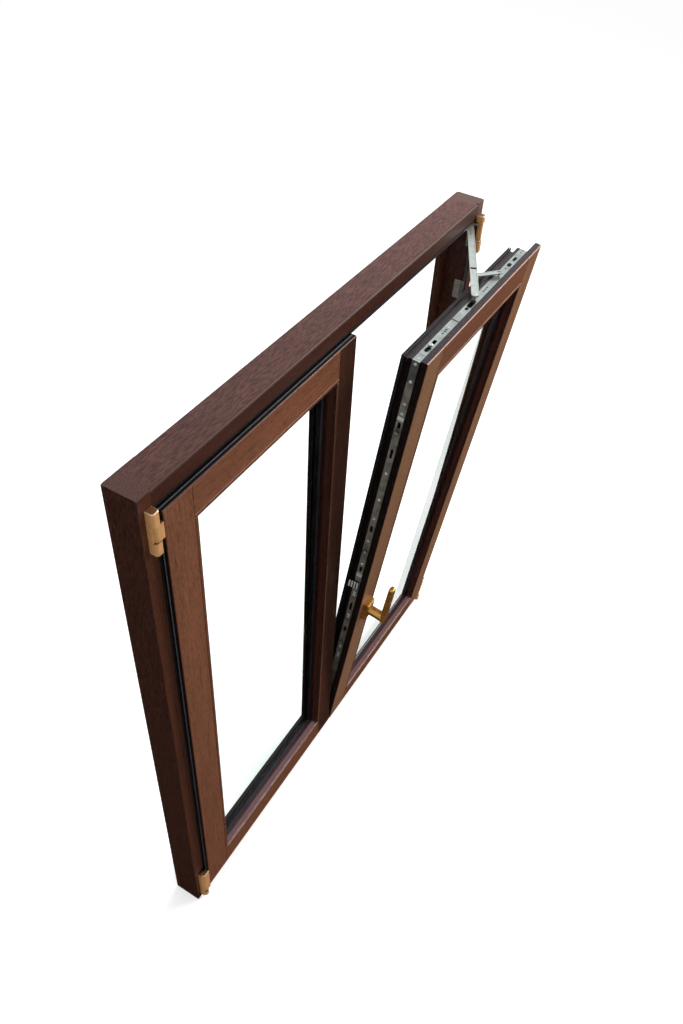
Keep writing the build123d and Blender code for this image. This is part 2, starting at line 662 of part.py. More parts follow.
# Stay: the arm swings on the upper pin, the link folds between the arm and the rail
LEAN = radians(REST_TILT)
RAIL_FORWARD = (TOP_FACE - PIVOT_HEIGHT) * sin(LEAN) - RAIL_LINE * cos(LEAN)
ARM_SWING = degrees(asin(RAIL_FORWARD / hypot(ARM_REACH, RAIL_LINE)) + atan2(RAIL_LINE, ARM_REACH))
ARM_END = PIN_X - ARM_REACH
RAIL_STUD_X = ARM_END + LINK_FOLD
LINK_PIVOT_X = RAIL_STUD_X - LINK_LENGTH
ARM_OPEN = (
    Location((PIN_X, PIN_Y, 0)) * Location((0, 0, 0), (0, 0, ARM_SWING)) * Location((-PIN_X, -PIN_Y, 0))
)
arm_pivot = (ARM_OPEN * Location((LINK_PIVOT_X, PLATE_MIDDLE, LINK_LOW))).position
rail_stud = (TILT * Location((RAIL_STUD_X, PLATE_MIDDLE, TOP_FACE + RAIL_STUD_RISE))).position
LINK_SWING = degrees(atan2(arm_pivot.Y - rail_stud.Y, rail_stud.X - arm_pivot.X))
LINK_OPEN = (
    ARM_OPEN
    * Location((LINK_PIVOT_X, PLATE_MIDDLE, 0))
    * Location((0, 0, 0), (0, 0, LINK_LEAD - ARM_SWING - LINK_SWING))
    * Location((-LINK_PIVOT_X, -PLATE_MIDDLE, 0))
)

sleeve = round_bar(1, UPPER_SPLIT + HINGE_END_GAP, RIGHT_JOIN - HINGE_END_GAP, KNUCKLE_RADIUS)
sleeve_bore = round_bar(1, UPPER_SPLIT, RIGHT_JOIN, PIN_RADIUS + PIN_CLEAR)
with BuildPart() as stay_arm:
    with BuildSketch(Plane.XY.offset(ARM_LOW)):
        with Locations(((ARM_START + ARM_END) / 2, PLATE_MIDDLE)):
            SlotCenterToCenter(ARM_START - ARM_END, ARM_WIDTH)
        with Locations((NECK_X, PIN_Y)):
            Rectangle(NECK_WIDTH, RAIL_LINE, align=(Align.CENTER, Align.MIN))
        with Locations((LINK_PIVOT_X, PLATE_MIDDLE)):
            Circle(STUD_RADIUS + PIN_CLEAR, mode=Mode.SUBTRACT)
        with Locations((ARM_START - ARM_SLOT_REACH, PLATE_MIDDLE)):
            SlotOverall(ARM_SLOT_LENGTH, ARM_SLOT_WIDTH, mode=Mode.SUBTRACT)
        with Locations((ARM_START - ARM_HOLE_REACH, PLATE_MIDDLE)):
            Circle(ARM_HOLE_RADIUS, mode=Mode.SUBTRACT)
    extrude(amount=ARM_THICKNESS)
    add(sleeve)
    with Locations((ARM_END, PLATE_MIDDLE, ARM_LOW)):
        Cylinder(STUD_RADIUS, STUD_DROP, align=(Align.CENTER, Align.CENTER, Align.MAX))
    add(sleeve_bore, mode=Mode.SUBTRACT)
publish(stay_arm.part, "stay_arm", ARM_OPEN)

with BuildPart() as stay_link:
    with BuildSketch(Plane.XY.offset(LINK_LOW)):
        with Locations(((LINK_PIVOT_X + RAIL_STUD_X + LINK_SLIDE) / 2, PLATE_MIDDLE)):
            SlotCenterToCenter(LINK_LENGTH + LINK_SLIDE, LINK_WIDTH)
        with Locations((RAIL_STUD_X + LINK_SLIDE / 2, PLATE_MIDDLE)):
            SlotCenterToCenter(LINK_SLIDE, 2 * (RAIL_STUD_RADIUS + RAIL_STUD_PLAY), mode=Mode.SUBTRACT)
    extrude(amount=LINK_THICKNESS)
    with Locations((LINK_PIVOT_X, PLATE_MIDDLE, LINK_LOW)):
        Cylinder(
            STUD_RADIUS, ARM_LOW + ARM_THICKNESS - LINK_LOW, align=(Align.CENTER, Align.CENTER, Align.MIN)
        )
publish(stay_link.part, "stay_link", LINK_OPEN)

# Plates in the right leaf's edges, with slots for the cams and the stay's stud
CORNER_END = LOCK_FACE + CORNER_LEG
CORNER_LOW = TOP_FACE - CORNER_DROP
STUD_FAR = PIN_X - hypot(ARM_REACH, RAIL_LINE)
STUD_NEAR = PIN_X - ARM_REACH * cos(radians(ARM_SWING)) - RAIL_LINE * sin(radians(ARM_SWING))
STUD_SLOT = 2 * (STUD_RADIUS + STUD_PLAY)
SLOT_WIDTH = 2 * (CAM_STEM_RADIUS + ROD_CLEAR)


def cam_slot(at: float) -> tuple:
    """Middle and length of the slot that a cam's stem runs in."""
    return at + LOCK_STROKE / 2, LOCK_STROKE + 2 * (CAM_STEM_RADIUS + ROD_CLEAR)


TOP_STRIP_LEFT = CORNER_END + JOINT_GAP
with BuildPart() as top_plate:
    with BuildSketch(Plane.XY.offset(TOP_FACE)):
        with Locations(((TOP_STRIP_LEFT + TOP_PLATE_RIGHT) / 2, PLATE_MIDDLE)):
            Rectangle(TOP_PLATE_RIGHT - TOP_STRIP_LEFT, PLATE_WIDTH)
        middle, length = cam_slot(TOP_CAM_X)
        with Locations((middle, PLATE_MIDDLE)):
            SlotOverall(length, SLOT_WIDTH, mode=Mode.SUBTRACT)
        with Locations(((STUD_FAR + STUD_NEAR) / 2, PLATE_MIDDLE)):
            SlotCenterToCenter(STUD_NEAR - STUD_FAR, STUD_SLOT, mode=Mode.SUBTRACT)
    extrude(amount=-PLATE_THICKNESS)
    with Locations((RAIL_STUD_X, PLATE_MIDDLE, TOP_FACE)):
        Cylinder(RAIL_STUD_RADIUS, RAIL_STUD_RISE, align=(Align.CENTER, Align.CENTER, Align.MIN))
publish(top_plate.part, "top_plate", TILT)

with BuildPart() as corner_drive:
    with BuildSketch(Plane.XZ.offset(-PLATE_MIDDLE)):
        with BuildLine():
            Polyline(
                (LOCK_FACE, CORNER_LOW), (LOCK_FACE, TOP_FACE), (CORNER_END, TOP_FACE),
                (CORNER_END, TOP_FACE - PLATE_THICKNESS),
                (LOCK_FACE + PLATE_THICKNESS, TOP_FACE - PLATE_THICKNESS),
                (LOCK_FACE + PLATE_THICKNESS, CORNER_LOW), close=True,
            )
        make_face()
    extrude(amount=PLATE_WIDTH / 2, both=True)
publish(corner_drive.part, "corner_drive", TILT)

SIDE_STRIP_HIGH = CORNER_LOW - JOINT_GAP
with BuildPart() as stile_plate:
    with BuildSketch(Plane.YZ.offset(LOCK_FACE)):
        with Locations((PLATE_MIDDLE, (SIDE_PLATE_LOW + SIDE_STRIP_HIGH) / 2)):
            Rectangle(PLATE_WIDTH, SIDE_STRIP_HIGH - SIDE_PLATE_LOW)
        for at in STILE_CAM_HEIGHTS:
            middle, length = cam_slot(at)
            with Locations((PLATE_MIDDLE, middle)):
                SlotOverall(length, SLOT_WIDTH, rotation=90, mode=Mode.SUBTRACT)
    extrude(amount=PLATE_THICKNESS)
publish(stile_plate.part, "stile_plate", TILT)

# Locking rods run under the plates and carry the cams
ROD_END = CAM_RADIUS + CAM_STEM_RADIUS
ROD_LENGTH = STILE_CAM_HEIGHTS[-1] - STILE_CAM_HEIGHTS[0] + 2 * ROD_END
with BuildPart() as stile_rod:
    with Locations((LOCK_FACE + PLATE_THICKNESS + ROD_CLEAR, PLATE_MIDDLE, STILE_CAM_HEIGHTS[0] - ROD_END)):
        Box(ROD_THICKNESS, ROD_WIDTH, ROD_LENGTH, align=(Align.MIN, Align.CENTER, Align.MIN))
    for at in STILE_CAM_HEIGHTS:
        with Locations(Location((LOCK_FACE + PLATE_THICKNESS + ROD_CLEAR, PLATE_MIDDLE, at), (0, -90, 0))):
            Cylinder(
                CAM_STEM_RADIUS, PLATE_THICKNESS + ROD_CLEAR + CAM_RISE,
                align=(Align.CENTER, Align.CENTER, Align.MIN),
            )
        with Locations(Location((LOCK_FACE - CAM_RISE, PLATE_MIDDLE, at), (0, 90, 0))):
            Cylinder(CAM_RADIUS, CAM_HEAD, align=(Align.CENTER, Align.CENTER, Align.MIN))
publish(stile_rod.part, "stile_rod", TILT)

with BuildPart() as top_rod:
    with Locations((TOP_CAM_X, PLATE_MIDDLE, TOP_FACE - PLATE_THICKNESS - ROD_CLEAR)):
        Box(TOP_ROD_LENGTH, ROD_WIDTH, ROD_THICKNESS, align=(Align.CENTER, Align.CENTER, Align.MAX))
        Cylinder(
            CAM_STEM_RADIUS, PLATE_THICKNESS + ROD_CLEAR + CAM_RISE,
            align=(Align.CENTER, Align.CENTER, Align.MIN),
        )
    with Locations((TOP_CAM_X, PLATE_MIDDLE, TOP_FACE + CAM_RISE)):
        Cylinder(CAM_RADIUS, CAM_HEAD, align=(Align.CENTER, Align.CENTER, Align.MAX))
publish(top_rod.part, "top_rod", TILT)

with BuildPart() as tilt_latch:
    with Locations((LOCK_FACE, PLATE_MIDDLE - PLATE_WIDTH / 2, LATCH_HEIGHT)):
        Box(LATCH_RISE, LATCH_DEPTH, LATCH_LENGTH, align=(Align.MAX, Align.MIN, Align.CENTER))
publish(tilt_latch.part, "tilt_latch", TILT)

# Keeps on the frame and on the meeting stile
HEAD_WALL = FRAME_HEIGHT - REVEAL_TOP - LIP_OVERLAP
JAMB_WALL = FRAME_WIDTH / 2 - REVEAL_SIDE - LIP_OVERLAP
with BuildPart() as jamb_keep:
    with Locations((JAMB_WALL, PLATE_MIDDLE, FRAME_HEIGHT - JAMB_KEEP_DROP)):
        Box(JAMB_KEEP_THICKNESS, PLATE_WIDTH, KEEP_LENGTH, align=(Align.MAX, Align.CENTER, Align.CENTER))
publish(jamb_keep.part, "jamb_keep")

with BuildPart() as head_keep:
    with Locations((TOP_CAM_X + LOCK_STROKE, PLATE_MIDDLE, HEAD_WALL)):
        Box(KEEP_LENGTH, PLATE_WIDTH, KEEP_THICKNESS, align=(Align.CENTER, Align.CENTER, Align.MAX))
publish(head_keep.part, "head_keep")

with BuildPart() as meeting_keeps:
    for at in STILE_CAM_HEIGHTS:
        with Locations((MEETING_WALL, PLATE_MIDDLE, at + LOCK_STROKE)):
            Box(KEEP_THICKNESS, PLATE_WIDTH, KEEP_LENGTH, align=(Align.MIN, Align.CENTER, Align.CENTER))
publish(meeting_keeps.part, "meeting_keeps")

# Handle
HANDLE_X = RIGHT_LIP + STILE_FACE / 2
ROSE_FRONT = LEAF_FRONT - ROSE_THICKNESS
LEVER_FRONT = ROSE_FRONT - NECK_CLEAR - NECK_REACH
HANDLE_AXIS = Location((HANDLE_X, ROSE_FRONT, HANDLE_HEIGHT), (90, 0, 0))
with BuildPart() as handle_rose:
    with Locations((HANDLE_X, LEAF_FRONT, HANDLE_HEIGHT)):
        Box(ROSE_WIDTH, ROSE_THICKNESS, ROSE_HEIGHT, align=(Align.CENTER, Align.MAX, Align.CENTER))
    chamfer(handle_rose.faces().sort_by(Axis.Y)[0].edges(), ROSE_CHAMFER)
    with Locations(HANDLE_AXIS):
        Cylinder(
            SPINDLE_RADIUS + PIN_CLEAR, SPINDLE_DEPTH, align=(Align.CENTER, Align.CENTER, Align.MAX),
            mode=Mode.SUBTRACT,
        )
publish(handle_rose.part, "handle_rose", TILT)

LEVER_TIP = HANDLE_HEIGHT + LEVER_LENGTH - LEVER_TIP_RADIUS
with BuildPart() as handle_lever:
    with BuildSketch(Plane.XZ.offset(-LEVER_FRONT)):
        with BuildLine():
            foot = Polyline(
                (HANDLE_X - LEVER_TIP_RADIUS, LEVER_TIP),
                (HANDLE_X - NECK_SIZE / 2, HANDLE_HEIGHT - NECK_SIZE / 2),
                (HANDLE_X + NECK_SIZE / 2, HANDLE_HEIGHT - NECK_SIZE / 2),
                (HANDLE_X + LEVER_TIP_RADIUS, LEVER_TIP),
            )
            ThreePointArc(foot @ 1, (HANDLE_X, LEVER_TIP + LEVER_TIP_RADIUS), foot @ 0)
        make_face()
    extrude(amount=-LEVER_THICKNESS)
    chamfer(handle_lever.faces().sort_by(Axis.Y)[0].edges(), LEVER_CHAMFER)
    with BuildSketch(Plane.XZ.offset(-(LEVER_FRONT + LEVER_THICKNESS))):
        with Locations((HANDLE_X, HANDLE_HEIGHT)):
            shank = Rectangle(NECK_SIZE, NECK_SIZE)
            chamfer(shank.vertices(), NECK_CHAMFER)
    extrude(amount=-(NECK_REACH - LEVER_THICKNESS))
    with Locations(HANDLE_AXIS):
        Cylinder(
            SPINDLE_RADIUS, SPINDLE_DEPTH - NECK_CLEAR, align=(Align.CENTER, Align.CENTER, Align.MAX)
        )
        Cylinder(SPINDLE_RADIUS, NECK_CLEAR, align=(Align.CENTER, Align.CENTER, Align.MIN))
publish(handle_lever.part, "handle_lever", TILT)
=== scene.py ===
"""Looks of the tilt and turn window: finishes, edge fittings, studio and camera.

Lengths are millimetres in the part's frame until a shape becomes a mesh. Pieces of the
right leaf are drawn shut and then lean into the room, as the solids do.
"""
import json
import logging
import math
from dataclasses import dataclass, field
from enum import Enum

import bmesh
import bpy
from mathutils import Matrix, Vector


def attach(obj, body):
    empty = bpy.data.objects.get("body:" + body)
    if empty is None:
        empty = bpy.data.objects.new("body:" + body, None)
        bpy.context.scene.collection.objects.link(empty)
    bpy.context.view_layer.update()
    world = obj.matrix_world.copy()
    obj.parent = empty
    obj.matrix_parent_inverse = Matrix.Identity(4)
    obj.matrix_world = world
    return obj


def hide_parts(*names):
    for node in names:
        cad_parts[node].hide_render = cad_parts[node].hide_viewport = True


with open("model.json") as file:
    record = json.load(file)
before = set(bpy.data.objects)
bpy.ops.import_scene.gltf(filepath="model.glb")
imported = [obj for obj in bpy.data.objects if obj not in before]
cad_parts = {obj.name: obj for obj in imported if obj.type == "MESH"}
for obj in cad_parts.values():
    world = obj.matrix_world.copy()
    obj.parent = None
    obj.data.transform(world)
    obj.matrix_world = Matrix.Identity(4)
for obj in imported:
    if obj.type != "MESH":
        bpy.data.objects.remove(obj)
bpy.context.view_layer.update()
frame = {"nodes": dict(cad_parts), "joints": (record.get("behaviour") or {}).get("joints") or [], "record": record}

LOG = logging.getLogger("window")
MM = 0.001

# Places repeated from the part's source
LEAF_FRONT = -49.0
LEAF_BOTTOM = 43.0
LEAF_TOP = 1362.0
TOP_FACE = 1344.0
LOCK_FACE = 24.5
PLATE_MIDDLE = -18.0
RAIL_FACE = 65.0
LEFT_EDGE = -566.0
LEFT_LIP = 1.5
RIGHT_LIP = 6.5
RIGHT_EDGE = 566.0
STILE_FACE = 70.0
MEETING_FACE = 58.0
JAMB_WALL = 560.0


class Grain(Enum):
    """The axis that a timber's grain runs along."""

    ACROSS = 0
    UPRIGHT = 2


def joint(name: str) -> dict:
    """The record's joint of that name."""
    return next(item for item in frame["joints"] if item["name"] == name)


def coupling(name: str) -> float:
    """The ratio at which a joint follows another one."""
    rows = frame["record"]["behaviour"]["couplings"]
    return next(row["ratio"] for row in rows if row["joint"] == name)


def turn_about(point: Vector, degrees: float, axis: str) -> Matrix:
    """A turn about an axis through a point.

    Args:
        point: a point on the axis, in millimetres.
        degrees: the angle.
        axis: "X", "Y" or "Z".

    Returns:
        The matrix of the turn.
    """
    there = Matrix.Translation(point)
    return there @ Matrix.Rotation(math.radians(degrees), 4, axis) @ there.inverted()


REST_TILT = joint("leaf_tilt")["range_deg"][1]
PIVOT = Vector(joint("leaf_tilt")["pos_m"]) / MM
ARM_SWING = -coupling("stay_swing") * REST_TILT
LINK_SWING = -coupling("link_swing") * REST_TILT
SHUT = Matrix.Identity(4)
LEAN = turn_about(PIVOT, REST_TILT, "X")
ARM_OPEN = turn_about(PIVOT, ARM_SWING, "Z")


def linear(code: str) -> tuple[float, float, float, float]:
    """Turn an sRGB hex colour into linear values with an alpha of one."""
    parts = [int(code[i:i + 2], 16) / 255 for i in (1, 3, 5)]
    return (*(c / 12.92 if c <= 0.04045 else ((c + 0.055) / 1.055) ** 2.4 for c in parts), 1.0)


def add_node(tree: bpy.types.NodeTree, kind: str, settings: dict, inputs: dict) -> bpy.types.Node:
    """Add one shader node, set it up and link it.

    Args:
        tree: the node tree to add to.
        kind: the node's type name without its ShaderNode prefix.
        settings: attributes of the node.
        inputs: values or output sockets, by input name or number.

    Returns:
        The new node.
    """
    node = tree.nodes.new(f"ShaderNode{kind}")
    for name, value in settings.items():
        setattr(node, name, value)
    for name, value in inputs.items():
        if isinstance(value, bpy.types.NodeSocket):
            tree.links.new(value, node.inputs[name])
        else:
            node.inputs[name].default_value = value
    return node


def blank(name: str) -> bpy.types.Material:
    """An empty node material of that name."""
    material = bpy.data.materials.new(name)
    material.use_nodes = True
    material.node_tree.nodes.clear()
    return material


def output(tree: bpy.types.NodeTree, shader: bpy.types.NodeSocket) -> None:
    """Send a shader to the material's surface."""
    add_node(tree, "OutputMaterial", {}, {"Surface": shader})


def ramp(tree: bpy.types.NodeTree, source: bpy.types.NodeSocket, stops: list) -> bpy.types.NodeSocket:
    """Colour a value by a few stops.

    Args:
        tree: the node tree to add to.
        source: the value that is coloured.
        stops: pairs of position and linear colour.

    Returns:
        The colour output.
    """
    node = add_node(tree, "ValToRGB", {}, {"Fac": source})
    points = node.color_ramp.elements
    while len(points) < len(stops):
        points.new(0.5)
    for point, (at, colour) in zip(points, stops):
        point.position = at
        point.color = colour
    return node.outputs["Color"]


LEVELS = {"black": 0.0, "dim": 0.35, "white": 1.0}
GREY = {name: (level, level, level, 1.0) for name, level in LEVELS.items()}


def mask(tree: bpy.types.NodeTree, source: bpy.types.NodeSocket, stops: tuple) -> bpy.types.NodeSocket:
    """Turn a value into greys by stops of position and grey."""
    return ramp(tree, source, [(at, GREY[level]) for at, level in stops])


def combine(tree: bpy.types.NodeTree, operation: str, *values, clamp: bool = False) -> bpy.types.NodeSocket:
    """Work out one sum of values or sockets.

    Args:
        tree: the node tree to add to.
        operation: the Math node's operation.
        values: numbers or sockets, in the operation's order.
        clamp: whether the result stays between zero and one.

    Returns:
        The result.
    """
    settings = {"operation": operation, "use_clamp": clamp}
    return add_node(tree, "Math", settings, dict(enumerate(values))).outputs["Value"]


def mixed(tree: bpy.types.NodeTree, share, first, second, blend: str = "MIX") -> bpy.types.NodeSocket:
    """Blend a second colour over a first one.

    Args:
        tree: the node tree to add to.
        share: how much of the second colour shows.
        first: the colour below.
        second: the colour above.
        blend: the way that they blend.

    Returns:
        The blended colour.
    """
    settings = {"data_type": "RGBA", "blend_type": blend}
    return add_node(tree, "Mix", settings, {0: share, 6: first, 7: second}).outputs[2]


def noise(tree: bpy.types.NodeTree, where: bpy.types.NodeSocket, **inputs: float) -> bpy.types.NodeSocket:
    """Noise at the given coordinates, with the node's inputs by name."""
    return add_node(tree, "TexNoise", {}, {"Vector": where, **inputs}).outputs["Fac"]


def relief(
    tree: bpy.types.NodeTree, height: bpy.types.NodeSocket, strength: float, depth: float
) -> bpy.types.NodeSocket:
    """A bumpy normal from a pattern, with its depth in millimetres."""
    inputs = {"Strength": strength, "Distance": depth * MM, "Height": height}
    return add_node(tree, "Bump", {}, inputs).outputs["Normal"]


def seen_directly(tree: bpy.types.NodeTree) -> bpy.types.NodeSocket:
    """One for what the camera, reflections and glass see, and zero for other light."""
    path = add_node(tree, "LightPath", {}, {}).outputs
    seen = combine(tree, "MAXIMUM", path["Is Camera Ray"], path["Is Glossy Ray"])
    return combine(tree, "MAXIMUM", seen, path["Is Transmission Ray"])


# Masks by how far a face looks along an axis, and by a pattern
EDGE_ON = ((0.45, "black"), (0.9, "white"))
# Where front-top edges take the painted highlight.
ARRIS_HIGHLIGHT = ((0.42, "black"), (0.62, "white"))
FLECKS = ((0.36, "dim"), (0.62, "white"))
PORES = ((0.34, "dim"), (0.46, "white"))
# Masks for painted shade on sideways faces, a painted highlight on slanting edges and painted shade on flat tops.
SIDEWAYS_SHADE = ((0.0, "black"), (1.0, "white"))
SLANTING_HIGHLIGHT = ((0.35, "black"), (0.5, "white"), (0.86, "white"), (0.94, "black"))
UPWARD_SHADE = ((0.9, "black"), (0.96, "white"))


@dataclass(frozen=True)
class Timber:
    """Open-pored hardwood, stained and lacquered.

    Satin lacquer over streaks and short dark pores that follow the grain. Faces that look
    up take a purple-brown colour, partly a duller stain and partly painted sky light and
    shadow, and faces that look sideways a darker one that is painted shade. Rounded edges
    between a front and a top get a painted highlight.
    """

    name: str
    deep: str
    warm: str
    # Colour of faces that look up: partly a duller stain, partly painted sky light and shadow.
    top: str
    # Colour of faces that look sideways: painted shade.
    side: str
    # Colour of rounded front-top edges: a painted highlight.
    arris: str
    grain: Grain
    lean: float = 0.0
    gloss: float = 0.3
    streak_mm: tuple = (2.6, 150.0)
    pore_mm: tuple = (0.9, 11.0)
    tone_mm: tuple = (60.0, 520.0)
    fleck_mm: tuple = (2.2, 14.0)
    streak_share: float = 0.62
    pore_share: float = 0.75
    pore_depth: float = 0.4

    def pattern(
        self, tree: bpy.types.NodeTree, turned: bpy.types.NodeSocket, size: tuple, **inputs: float
    ) -> bpy.types.NodeSocket:
        """Noise of one size across the grain and another along it.

        Args:
            tree: the node tree to add to.
            turned: coordinates that lean with the timber.
            size: the sizes across and along the grain, in millimetres.
            inputs: the noise's other settings.

        Returns:
            The noise.
        """
        scale = [1 / (size[0] * MM)] * 3
        scale[self.grain.value] = 1 / (size[1] * MM)
        spread = add_node(tree, "Mapping", {}, {"Vector": turned, "Scale": scale}).outputs["Vector"]
        return noise(tree, spread, Scale=1.0, **inputs)

    def edges(
        self, tree: bpy.types.NodeTree, normal: bpy.types.NodeSocket, room: bpy.types.NodeSocket,
        shade: bpy.types.NodeSocket,
    ) -> bpy.types.NodeSocket:
        """Lay the colours of tops and sides, which paint sky light and shade, and the painted highlight of
        front-top corners over the room side's stain.

        Args:
            tree: the node tree to add to.
            normal: the way that a face looks.
            room: the room side's stain.
            shade: the flecks in the tops' and sides' colours.

        Returns:
            The stain with its painted light and shade.
        """
        facing = add_node(tree, "SeparateXYZ", {}, {"Vector": normal}).outputs
        stain = room
        # Tops take painted sky light and shadow over a duller stain; sides take painted shade.
        for axis, code in (("Z", self.top), ("X", self.side)):
            dull = mask(tree, combine(tree, "ABSOLUTE", facing[axis]), EDGE_ON)
            edge = mixed(tree, 1.0, shade, linear(code), "MULTIPLY")
            stain = mixed(tree, dull, stain, edge)
        # Rounded edges between a front and a top take the arris colour: a painted highlight.
        front = combine(tree, "MULTIPLY", facing["Y"], -2.0, clamp=True)
        upper = combine(tree, "MAXIMUM", facing["Z"], 0.0)
        painted_highlight = mask(tree, combine(tree, "MULTIPLY", front, upper), ARRIS_HIGHLIGHT)
        return mixed(tree, painted_highlight, stain, linear(self.arris))

    def make(self) -> bpy.types.Material:
        """Build the node material.

        Returns:
            The finished material.
        """
        material = blank(self.name)
        tree = material.node_tree
        where = add_node(tree, "TexCoord", {}, {}).outputs
        lean = (-math.radians(self.lean), 0, 0)
        leaning = {"Vector": where["Object"], "Rotation": lean}
        turned = add_node(tree, "Mapping", {}, leaning).outputs["Vector"]
        streak = self.pattern(tree, turned, self.streak_mm, Detail=4.0, Roughness=0.62, Distortion=0.35)
        tone = self.pattern(tree, turned, self.tone_mm, Detail=2.0)
        pore = self.pattern(tree, turned, self.pore_mm, Detail=1.0, Roughness=0.4)
        fleck = self.pattern(tree, turned, self.fleck_mm, Detail=3.0, Roughness=0.6)
        share = combine(tree, "MULTIPLY", streak, self.streak_share)
        blend = combine(tree, "MULTIPLY_ADD", tone, 1 - self.streak_share, share)
        room = ramp(tree, blend, [(0.3, linear(self.deep)), (0.72, linear(self.warm))])
        stain = self.edges(tree, where["Normal"], room, mask(tree, fleck, FLECKS))
        pores = mask(tree, pore, PORES)
        shader = add_node(
            tree, "BsdfPrincipled", {},
            {"Base Color": mixed(tree, self.pore_share, stain, pores, "MULTIPLY"),
             "Roughness": combine(tree, "MULTIPLY_ADD", streak, 0.2, self.gloss - 0.1),
             "IOR": 1.5, "Specular IOR Level": 0.25, "Normal": relief(tree, pores, 0.12, self.pore_depth)},
        )
        output(tree, shader.outputs["BSDF"])
        return material


@dataclass(frozen=True)
class Metal:
    """A plated or lacquered metal with faint polishing marks and cloudy gloss.

    Faces that look sideways can take painted shade, slanting edges a painted highlight and
    flat tops a darker painted shade.
    """

    name: str
    base: str
    shade: str
    roughness: float
    # Painted shade on faces that look sideways.
    side: str = ""
    # Painted highlight on slanting edges.
    rim: str = ""
    # Painted shade on flat tops.
    cap: str = ""
    metallic: float = 1.0
    relief: float = 0.06
    mark_mm: tuple = (40.0, 40.0, 0.7)
    cloud_mm: float = 18.0
    mark_depth: float = 0.2

    def make(self) -> bpy.types.Material:
        """Build the node material.

        Returns:
            The finished material.
        """
        material = blank(self.name)
        tree = material.node_tree
        where = add_node(tree, "TexCoord", {}, {}).outputs
        scale = [1 / (size * MM) for size in self.mark_mm]
        drawn = add_node(tree, "Mapping", {}, {"Vector": where["Object"], "Scale": scale}).outputs["Vector"]
        marks = noise(tree, drawn, Scale=1.0, Detail=3.0)
        cloud = noise(tree, where["Object"], Scale=1 / (self.cloud_mm * MM), Detail=2.0)
        colour = ramp(tree, cloud, [(0.3, linear(self.shade)), (0.62, linear(self.base))])
        facing = add_node(tree, "SeparateXYZ", {}, {"Vector": where["Normal"]}).outputs
        shades = (("X", self.side, SIDEWAYS_SHADE), ("Z", self.rim, SLANTING_HIGHLIGHT), ("Z", self.cap, UPWARD_SHADE))
        for axis, code, stops in shades:
            if code:
                share = mask(tree, combine(tree, "ABSOLUTE", facing[axis]), stops)
                colour = mixed(tree, share, colour, linear(code))
        rough = combine(tree, "MULTIPLY_ADD", marks, 0.16, self.roughness - 0.08)
        bump = relief(tree, marks, self.relief, self.mark_depth)
        shader = add_node(
            tree, "BsdfPrincipled", {},
            {"Base Color": colour, "Metallic": self.metallic, "Roughness": rough, "Normal": bump},
        )
        output(tree, shader.outputs["BSDF"])
        return material


@dataclass(frozen=True)
class Rubber:
    """Extruded black seal rubber: almost black, with a dull grey sheen and dusty specks."""

    name: str
    base: str
    dust: str
    roughness: float = 0.5
    speck_mm: float = 2.4
    speck_depth: float = 0.3

    def make(self) -> bpy.types.Material:
        """Build the node material.

        Returns:
            The finished material.
        """
        material = blank(self.name)
        tree = material.node_tree
        where = add_node(tree, "TexCoord", {}, {}).outputs["Object"]
        specks = noise(tree, where, Scale=1 / (self.speck_mm * MM), Detail=5.0)
        colour = ramp(tree, specks, [(0.45, linear(self.base)), (0.78, linear(self.dust))])
        bump = relief(tree, specks, 0.2, self.speck_depth)
        shader = add_node(
            tree, "BsdfPrincipled", {},
            {"Base Color": colour, "Roughness": self.roughness, "IOR": 1.52, "Normal": bump},
        )
        output(tree, shader.outputs["BSDF"])
        return material


@dataclass(frozen=True)
class FloatGlass:
    """Clear float glass: see-through, with a faint green cast and a trace of waviness.

    A low index stands for coated glass that hardly mirrors.
    """

    name: str
    tint: str
    index: float
    wave_mm: float = 260.0

    def make(self) -> bpy.types.Material:
        """Build the node material; light and reflections pass it without a shadow.

        Returns:
            The finished material.
        """
        material = blank(self.name)
        tree = material.node_tree
        where = add_node(tree, "TexCoord", {}, {}).outputs["Object"]
        wave = noise(tree, where, Scale=1 / (self.wave_mm * MM), Detail=1.0)
        colour = ramp(tree, wave, [(0.3, linear(self.tint)), (0.7, GREY["white"])])
        glass = add_node(
            tree, "BsdfPrincipled", {},
            {"Base Color": colour, "Roughness": 0.0, "IOR": self.index, "Transmission Weight": 1.0},
        )
        clear = add_node(tree, "BsdfTransparent", {}, {"Color": colour})
        path = add_node(tree, "LightPath", {}, {}).outputs
        passing = combine(tree, "MAXIMUM", path["Is Shadow Ray"], path["Is Glossy Ray"])
        both = add_node(
            tree, "MixShader", {}, {0: passing, 1: glass.outputs["BSDF"], 2: clear.outputs["BSDF"]}
        )
        output(tree, both.outputs["Shader"])
        return material


# Deep and warm are the stains. Top paints sky light on faces that look up, partly over a duller stain; side paints
# shade; arris is a painted highlight.
HEAD_STAIN = {"deep": "#2b150e", "warm": "#4f2819", "top": "#6b463f", "side": "#4d2c22", "arris": "#4c2c24"}
JAMB_STAIN = {"deep": "#362018", "warm": "#623826", "top": "#6b463f", "side": "#4d2c22", "arris": "#4c2c24"}
# The left leaf's near-black top and side paint the head's shadow and shade.
LEFT_STAIN = {"deep": "#67402b", "warm": "#915e46", "top": "#181110", "side": "#1a1110", "arris": "#5a3a2e"}
# A darker copy of the left leaf's stain: painted shade cast by the leaning right leaf.
MEETING_SHADE_STAIN = {
    "deep": "#34201a", "warm": "#503024", "top": "#181110", "side": "#1a1110", "arris": "#4a2f26"
}
RAIL_STAIN = {"deep": "#6a422d", "warm": "#8c5c46", "top": "#3d3438", "side": "#1f1513", "arris": "#b98d80"}
STILE_STAIN = {"deep": "#78553c", "warm": "#9c7358", "top": "#3d3438", "side": "#1f1513", "arris": "#b98d80"}
